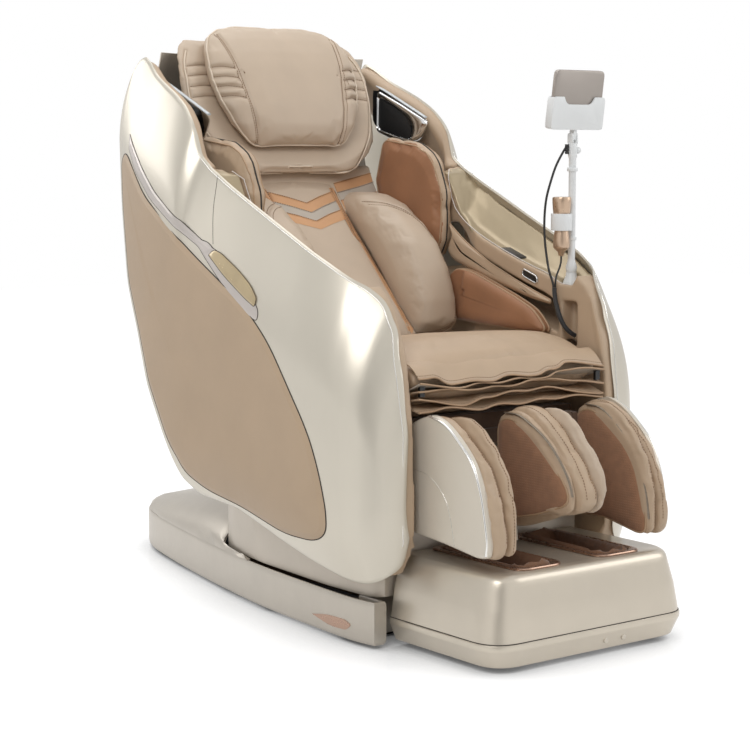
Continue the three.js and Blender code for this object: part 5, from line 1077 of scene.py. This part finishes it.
# ---------------------------------------------------------------------------
# Shoulder pads and hand pads. Air bags in sewn covers: brown leather towards
# the sitter, tan outside, with a welt round each face.
# ---------------------------------------------------------------------------
SHOULDER = rounded([[220, 1018, 16], [60, 1000, 30], [-4, 930, 40], [-12, 850, 40], [-4, 750, 30], [40, 722, 30],
                    [140, 760, 20], [256, 900, 20]], steps=6)
SHOULDER_WELTS = (  # name, distance from the middle, size, finish, lift and thickness
    ("inner", 240.5, 0.93, tan_welt, 0.0, 0.0018), ("mid", 256.5, 1.0, gap_shadow, -0.0005, 0.0022),
    ("outer", 273, 0.93, tan_welt, 0.0, 0.0018))
HAND_FLAP = rounded([[-8, 818, 8], [-24, 792, 10], [-6, 757, 12], [-26, 736, 14], [-146, 700, 20], [-291, 664, 20],
                     [-354, 655, 4], [-354, 662, 4], [-300, 679, 20], [-236, 701, 20], [-150, 734, 20],
                     [-66, 778, 20]], steps=6)
HAND_FLAP_SPINE = ((-30, 786), (-60, 752), (-150, 717), (-240, 686), (-330, 663))
HAND_REST = rounded([[-36, 606, 10], [-34, 700, 16], [-62, 717, 18], [-112, 711, 24], [-171, 692, 30], [-259, 663, 30],
                     [-322, 638, 24], [-356, 604, 14], [-352, 594, 6], [-300, 592, 10], [-100, 600, 10]], steps=6)
HAND_REST_SPINE = ((-70, 660), (-170, 645), (-290, 622))
# Behind this place the hand rest stands clear of the lumbar wing, at least this far from the middle.
LUMBAR_Y, LUMBAR_CLEAR = -0.09, 0.2388


def flat_on(x, side, outward=1):
    """Places an outline and its heights on an upright plane at x."""
    return lambda ring, lift: mm([(side * (x + outward * h), y, z) for h, (y, z) in zip(lift, ring)])


for side, name in SIDES:
    shoulder, _ = stuffed("shoulder_pad_" + name, "shoulder_" + name, "backrest", "tan_leather", tan, fine=True,
                          second=brown_leather, sort=lambda c, n: n.x * side < -0.55 and abs(c.x) < 0.246)
    shoulder_tree, middle = surface(shoulder), SHOULDER.mean(axis=0)
    for tag, x, size, cover, lift, thick in SHOULDER_WELTS:
        line = lay(shoulder_tree, upright(side, x, middle + (SHOULDER - middle) * size), None, lift)
        bead("shoulder_welt_%s_%s" % (tag, name), line, thick, cover, "backrest", "tan_leather", loop=True)
    skin = inlaid(HAND_FLAP, HAND_FLAP_SPINE, (0.6, 1.6, 3.2, 6.0, 9.0), flat_on(261.4, side, -1),
                  crown(0.5, 8.5, 11), even(0))
    put("hand_flap_" + name, skin, tan, "carriage", "tan_leather", "hand_pad_upper_" + name, angle=70)
    bead("hand_flap_welt_" + name, upright(side, 260, HAND_FLAP), 0.0020, tan_welt, "carriage", "tan_leather",
         loop=True)
    points, faces = inlaid(HAND_REST, HAND_REST_SPINE, (0.6, 1.6, 3.2, 6.0, 10.0, 16.0, 24.0),
                           flat_on(243, side, -1), crown(0.5, 13.0, 21), even(-14.0))
    points = [(x if y < LUMBAR_Y else side * max(abs(x), LUMBAR_CLEAR), y, z) for x, y, z in points]
    rest = put("hand_rest_" + name, (points, faces), brown_leather, "carriage", "brown_fabric",
               "hand_pad_lower_" + name, angle=70)
    for tag, x in (("welt", 242.5), ("back", 256)):
        bead("hand_rest_%s_%s" % (tag, name), upright(side, x, HAND_REST), 0.0024, tan_welt, "carriage",
             "tan_leather", loop=True)

# ---------------------------------------------------------------------------
# Leg rest. Calf air bags in tan leather with perforated brown linings, zips
# and sewn rims, between two cream side plates with a bright edge.
# ---------------------------------------------------------------------------
cream = finish("cream_plate", rgb(214, 205, 190), 0.36, metal=0.22, vary=0.02, coat=0.1, **MATT)
zip_metal = finish("zip_teeth", rgb(128, 116, 102), 0.4, metal=0.4, vary=0.15, blotch=300, grain=0.0005,
                   grain_size=0.0022, kind="rows")
PLATE = rounded([[-498, 236, 6], [-498, 452, 10], [-530, 466, 12], [-566, 476, 14], [-606, 463, 24], [-650, 432, 24],
                 [-690, 394, 26], [-714, 344, 26], [-727, 294, 20], [-735, 244, 10], [-729, 218, 10],
                 [-700, 215, 10], [-603, 227, 10]], steps=6)
PLATE_SPINE = ((-540, 340), (-640, 320), (-690, 260))
PLATE_EDGE = ((-556, 472), (-604, 459), (-646, 430), (-684, 394), (-708, 345), (-721, 296), (-729, 246), (-726, 224))
PLATE_BEND = ((-510, 362), (-549, 357), (-582, 340), (-605, 318), (-622, 280), (-634, 229))
INNER = rounded([[-530, 262, 14], [-530, 440, 20], [-556, 452, 18], [-592, 446, 20], [-630, 424, 24], [-676, 388, 26],
                 [-714, 354, 20], [-738, 322, 18], [-732, 300, 14], [-700, 288, 14], [-640, 268, 14],
                 [-585, 256, 12]], steps=5)
OUTER = rounded([[-530, 234, 14], [-530, 440, 20], [-560, 454, 16], [-594, 448, 20], [-630, 424, 22], [-672, 394, 24],
                 [-704, 352, 22], [-722, 296, 20], [-735, 246, 12], [-732, 222, 10], [-712, 218, 10],
                 [-620, 236, 12]], steps=5)
LININGS = (  # name, distance from the middle, the way it faces, outline, spine and zip
    ("inner", 38.5, 1, INNER, ((-560, 350), (-640, 345), (-700, 325)),
     ((-548, 462), (-590, 461), (-628, 446), (-668, 424), (-708, 388), (-738, 346), (-748, 318))),
    ("outer", 176.5, -1, OUTER, ((-560, 340), (-640, 330), (-700, 260)),
     ((-556, 463), (-598, 460), (-636, 440), (-680, 402), (-712, 358), (-734, 300), (-742, 250))),
)
DIVIDER_SEAM = ((-548, 474), (-588, 480), (-638, 466), (-700, 414), (-748, 356), (-766, 312))
CALF_BAGS = (  # solid, piece, distance of the seam from the middle and the seam
    ("calf_side_pad_", "calf_pad_", 206,
     ((-560, 478), (-612, 466), (-684, 420), (-728, 364), (-748, 304), (-756, 250))),
    ("calf_airbag_outer_", "calf_bag_outer_", 190,
     ((-560, 470), (-602, 478), (-642, 469), (-680, 440), (-718, 400), (-746, 344), (-754, 280), (-752, 225))),
)


def rim_seam(piece, line):
    """A seam over the rim of a calf bag, from points in metres."""
    return lay(surface(piece), route(line), None, 0.0002)


stuffed("calf_back_pad", "calf_back", "leg_rest", "brown_fabric", lining)
divider, _ = stuffed("calf_divider", "calf_middle", "leg_rest", "tan_leather", tan, fine=True)
seams = [rim_seam(divider, mm([(x, y - 2, z + 2) for y, z in DIVIDER_SEAM])) for x in (-14, 14)]
for side, name in SIDES:
    plate = inlaid(PLATE, PLATE_SPINE, (0.5, 1.4, 2.6, 4.5, 9.0, 10.0, 12.0), flat_on(240, side), crown(-6, 6, 4.5),
                   even(-12))
    put("calf_plate_" + name, plate, cream, "leg_rest", "champagne_light", "calf_plate_" + name, angle=50)
    bead("plate_edge_" + name, route(upright(side, 237.8, PLATE_EDGE), 7), 0.0042, bright_trim, "leg_rest",
         "champagne_light", flat=0.55, sides=12)
    bead("plate_bend_" + name, route(upright(side, 240, PLATE_BEND), 8), 0.0007, bright_trim, "leg_rest",
         "champagne_light", flat=0.5)
    for node, tag, x, seam in CALF_BAGS:
        bag, _ = stuffed(node + name, tag + name, "leg_rest", "tan_leather", tan)
        seams.append(rim_seam(bag, upright(side, x, seam)))
    stuffed("calf_airbag_inner_" + name, "calf_bag_inner_" + name, "leg_rest", "tan_leather",
            taupe if side > 0 else tan)
    for tag, x, facing, outline, spine, teeth in LININGS:
        skin = inlaid(outline, spine, (0.6, 1.6, 3.2, 6.0, 10.0, 16.0), flat_on(x, side, facing),
                      crown(0.3, 7.0, 26.0), even(-2.0))
        put("lining_%s_%s" % (tag, name), skin, lining, "leg_rest", "brown_fabric")
        bead("lining_welt_%s_%s" % (tag, name), upright(side, x + facing, outline), 0.0022, tan_welt, "leg_rest",
             "tan_leather", loop=True)
        bead("zip_%s_%s" % (tag, name), route(upright(side, x + facing * 0.4, teeth), 7), 0.0030, zip_metal,
             "leg_rest", "black_gloss", flat=0.5)
sew("leg_stitches", seams, "leg_rest", "brown_fabric", pitch=0.006, length=0.0036, thick=0.0008)

# ---------------------------------------------------------------------------
# Foot box. A moulded champagne tub on the floor, open below, with a ledge
# near its foot and two wells edged in rose metal and lined with cloth.
# ---------------------------------------------------------------------------
foot_plastic = finish("foot_champagne", rgb(206, 196, 180), 0.34, metal=0.55, vary=0.02, grain=0.00003,
                      grain_size=0.0005, coat=0.25, rough_vary=0.03)
well_cloth = finish("well_cloth", rgb(122, 88, 64), 0.9, vary=0.12, blotch=40, grain=0.0006, grain_size=0.003,
                    sheen=0.25, soft=0.003, soft_size=0.022)
BOX = (  # height, half width, front and corner of each ring of the tub, from the floor up
    (12, 246, -766, 48), (14, 249, -769, 50), (30, 256, -773.5, 52), (44.5, 262, -778.5, 54), (47, 263.6, -779.7, 55),
    (50, 264, -780, 55), (56.5, 264, -780, 55), (58.5, 263.4, -779.4, 55), (60, 261.6, -777.6, 54),
    (90, 257, -774, 53), (118, 252.6, -770.6, 52), (122, 251.6, -769.8, 52), (160, 242.5, -762.5, 50),
    (172, 239, -760, 48), (177.5, 236.4, -757.2, 46.5), (181, 233, -754, 44), (184, 228.6, -749.6, 42),
    (185.6, 225.6, -746.6, 40.6))
BOX_REAR, BOX_WALL, BOX_TOP = -462, 5, 185.6
WELL_X, WELL_HALF, WELL_FRONT, WELL_REAR, WELL_MIDDLE, WELL_FLOOR = 105, 50, -728, -477, -602, 99
WELL_RIM = (  # how far the rim's rings stand out from the well's edge, and their heights
    (11, 186.4), (11.4, 188.4), (10, 190.3), (7, 190.9), (2, 190.6), (-1.5, 189.2), (-3, 186), (-3, 120), (-3, 96),
    (-1, 92.4), (0, 93), (0, 150), (0.4, 184), (3, 186.3))
SOCK = (  # how far the sock's rings stand out from the well's edge, their heights and how rumpled they are
    (-3.4, 181, 0.6), (-4.6, 190, 1.6), (-9, 194, 3.2), (-14, 188, 3.6), (-19, 172, 3.4), (-23, 150, 3.2),
    (-26, 124, 2.6), (-30, 104, 1.0), (-44, 99, 0.6))
CAP = ((5.5, -771.0), (5.5, -775.4), (4.6, -776.2), (2.2, -776.5), (0.2, -776.5))


def box_ring(half, front, radius, rear=BOX_REAR):
    """Outline of the tub: round at the front, square behind."""
    reach = radius * 1.25
    return rounded([[half, rear, 3], [half, front, reach], [-half, front, reach], [-half, rear, 3]], 16)


def well_line(side, grow):
    """Outline of a foot well, or one that stands out from it."""
    near, far = WELL_X - WELL_HALF - grow, WELL_X + WELL_HALF + grow
    front, rear = WELL_FRONT - grow, WELL_REAR + grow
    return rounded([[near, front, 34], [far, front, 34], [far, rear, 20], [near, rear, 20]], 8) * np.array([side, 1])


def at_height(line, z):
    """An outline of x and y places at one height."""
    return [(x, y, z) for x, y in line]


def tub_skin():
    """Points and faces of the tub: its wall, and an upper and an under face with the bores of both wells."""
    outside = [at_height(box_ring(half, front, radius), z) for z, half, front, radius in BOX]
    inside = [at_height(box_ring(half - BOX_WALL, front + BOX_WALL, radius - 4, BOX_REAR - BOX_WALL), z)
              for z, half, front, radius in BOX[::-1] if z < 181]
    points, faces = rings_skin(inside + outside, capped=False)
    bores = []
    for edge, z in ((outside[-1], BOX_TOP), (inside[0], inside[0][0][2])):
        wells = [at_height(well_line(side, 1), z) for side, _ in SIDES]
        bores.append(wells)
        base = len(points)
        points += edge + wells[0] + wells[1]
        faces += [tuple(base + i for i in tri)
                  for tri in tessellate_polygon([[Vector(p) for p in line] for line in (edge, *wells)])]
    for upper, lower in zip(*bores):
        base, n = len(points), len(upper)
        points += upper + lower
        faces += [(base + k, base + (k + 1) % n, base + n + (k + 1) % n, base + n + k) for k in range(n)]
    return mm(points), faces


def sock_skin(side):
    """Points and faces of the thin rumpled sock in a foot well, closed across the well's floor."""
    middle = np.array([side * WELL_X, WELL_MIDDLE, 0])
    over = []
    for grow, z, rumple in SOCK:
        x, y = well_line(side, grow).T
        w = (np.sin(x * 0.17 + y * 0.06 + z * 0.11) + 0.6 * np.sin(y * 0.21 - x * 0.05 + z * 0.05)
             + 0.4 * np.sin(x * 0.41 - y * 0.33))
        over.append(np.stack([x + rumple * 0.7 * w * np.where(x < middle[0], 1, -1), y + rumple * 0.5 * w,
                              z + rumple * 0.9 * w], 1))
    under = [ring + (middle - ring) * (-0.012, -0.006, 0) - (0, 0, 1.6) for ring in over[::-1]]
    n, turn = len(over[0]), len(over) * len(over[0])
    points, faces = rings_skin(over + under, capped=False)
    last, floor_over = len(points) - n, len(points)
    faces = [face for face in faces if not min(face) < turn <= max(face)]
    faces += [(turn - n + k, turn - n + (k + 1) % n, floor_over) for k in range(n)]
    faces += [(turn + k, turn + (k + 1) % n, floor_over + 1) for k in range(n)]
    faces += [(k, (k + 1) % n, last + (k + 1) % n, last + k) for k in range(n)]
    points += [(middle[0], middle[1], WELL_FLOOR), (middle[0], middle[1], WELL_FLOOR - 1.6)]
    return mm(points), faces


put("foot_tub", tub_skin(), foot_plastic, "foot_unit", "champagne", "foot_box", angle=28)
bead("tub_joint", mm(at_height(box_ring(261.9, -777.9, 54)[1:-1], 60.6)), 0.0008, gap_shadow, "foot_unit",
     "black_gloss")
for side, name in SIDES:
    rings = [mm(at_height(well_line(side, grow), z)) for grow, z in WELL_RIM]
    put("well_rim_" + name, rings_skin(rings, loop=True), rose_metal, "foot_unit", "rose_gold", "foot_well_" + name,
        angle=35)
    put("well_sock_" + name, sock_skin(side), well_cloth, "foot_unit", "brown_fabric", angle=80)
for x in (30, 78):
    rings = [mm([(x + r * math.cos(a), y, 30 + r * math.sin(a)) for a in np.linspace(0, 2 * math.pi, 21)[:-1]])
             for r, y in CAP]
    put("tub_cap_%d" % x, rings_skin(rings), cream, "foot_unit", "champagne", angle=40)

# ---------------------------------------------------------------------------
# Stand. A white steel post out of the arm, with a swivel knob, a clip for
# the rose metal wand and a white pocket for the tablet.
# ---------------------------------------------------------------------------
white_plastic = finish("white_plastic", rgb(232, 234, 234), 0.35, vary=0.02, **MATT)
wand_metal = finish("wand_metal", rgb(196, 170, 146), 0.3, metal=0.7, vary=0.03, grain=0.00002, grain_size=0.0004)
tablet_metal = finish("tablet_shell", rgb(158, 150, 143), 0.36, metal=0.5, vary=0.03, grain=0.00003,
                      grain_size=0.0005)
POST_X, POST_Y, POST_R = 305, -370, 8.1
WAND_X, WAND_Y = 275, -370
RELIEF_X, RELIEF_Y = 291, -367
KNOB_X, KNOB_HIGH = 313, 983
# Radius and height of each ring of the turned pieces. The knob lies, so its heights run outwards.
WAND = ((0, 757), (5, 757), (6, 758), (8, 766), (14, 771), (17.4, 776), (18, 779), (17.6, 790), (15.4, 808),
        (13.6, 826), (14.2, 833), (15, 838), (16.8, 846), (18.2, 849), (19.4, 860), (20.2, 872), (20.5, 880),
        (19.6, 883), (16, 884), (0, 884))
RELIEF = ((3.4, 975), (4.6, 978), (3.5, 981), (4.8, 984), (3.6, 987), (4.8, 990), (4.2, 993), (4.6, 996))
KNOB = ((0.02, 0), (6.4, 0), (7.2, 1.2), (7.2, 9), (6.2, 11), (0.02, 11.4))


def turned(profile, x, y, sides=40):
    """A turned piece on an upright axis from radius and height rows, in millimetres."""
    angles = np.linspace(0, 2 * math.pi, sides + 1)[:-1]
    return rings_skin([mm([(x + max(r, 0.02) * math.cos(a), y + max(r, 0.02) * math.sin(a), z) for a in angles])
                       for r, z in profile])


moulded("stand_socket", "swivel_base", "carriage", "white_plastic", white_plastic, edge=0.0008)
moulded("stand_post", "post", "stand", "white_plastic", white_plastic, edge=0.0008, angle=35)
moulded("tablet_holder", "tablet_pocket", "holder", "white_plastic", white_plastic, edge=0.0012)
moulded("tablet", "tablet_body", "tablet", "tablet_shell", tablet_metal, edge=0.002)
put("wand_body", turned(WAND, WAND_X, WAND_Y), wand_metal, "wand", "rose_gold", "wand", angle=40)
for tag, r, low, high in (("high", 11.5, 938, 946), ("low", 10.5, 790, 797)):
    collar = ((POST_R, low), (r - 0.6, low), (r, low + 0.8), (r, high - 0.8), (r - 0.6, high), (POST_R, high))
    put("stand_collar_" + tag, turned(collar, POST_X, POST_Y), white_plastic, "stand", "white_plastic", angle=40)
rings = [mm([(KNOB_X + out, POST_Y + r * math.cos(a), KNOB_HIGH + r * math.sin(a))
             for a in np.linspace(0, 2 * math.pi, 25)[:-1]]) for r, out in KNOB]
put("stand_knob", rings_skin(rings), white_plastic, "stand", "white_plastic", angle=40)
put("flex_relief", turned(RELIEF, RELIEF_X, RELIEF_Y, 20), black_rubber, "stand", "rubber", angle=40)
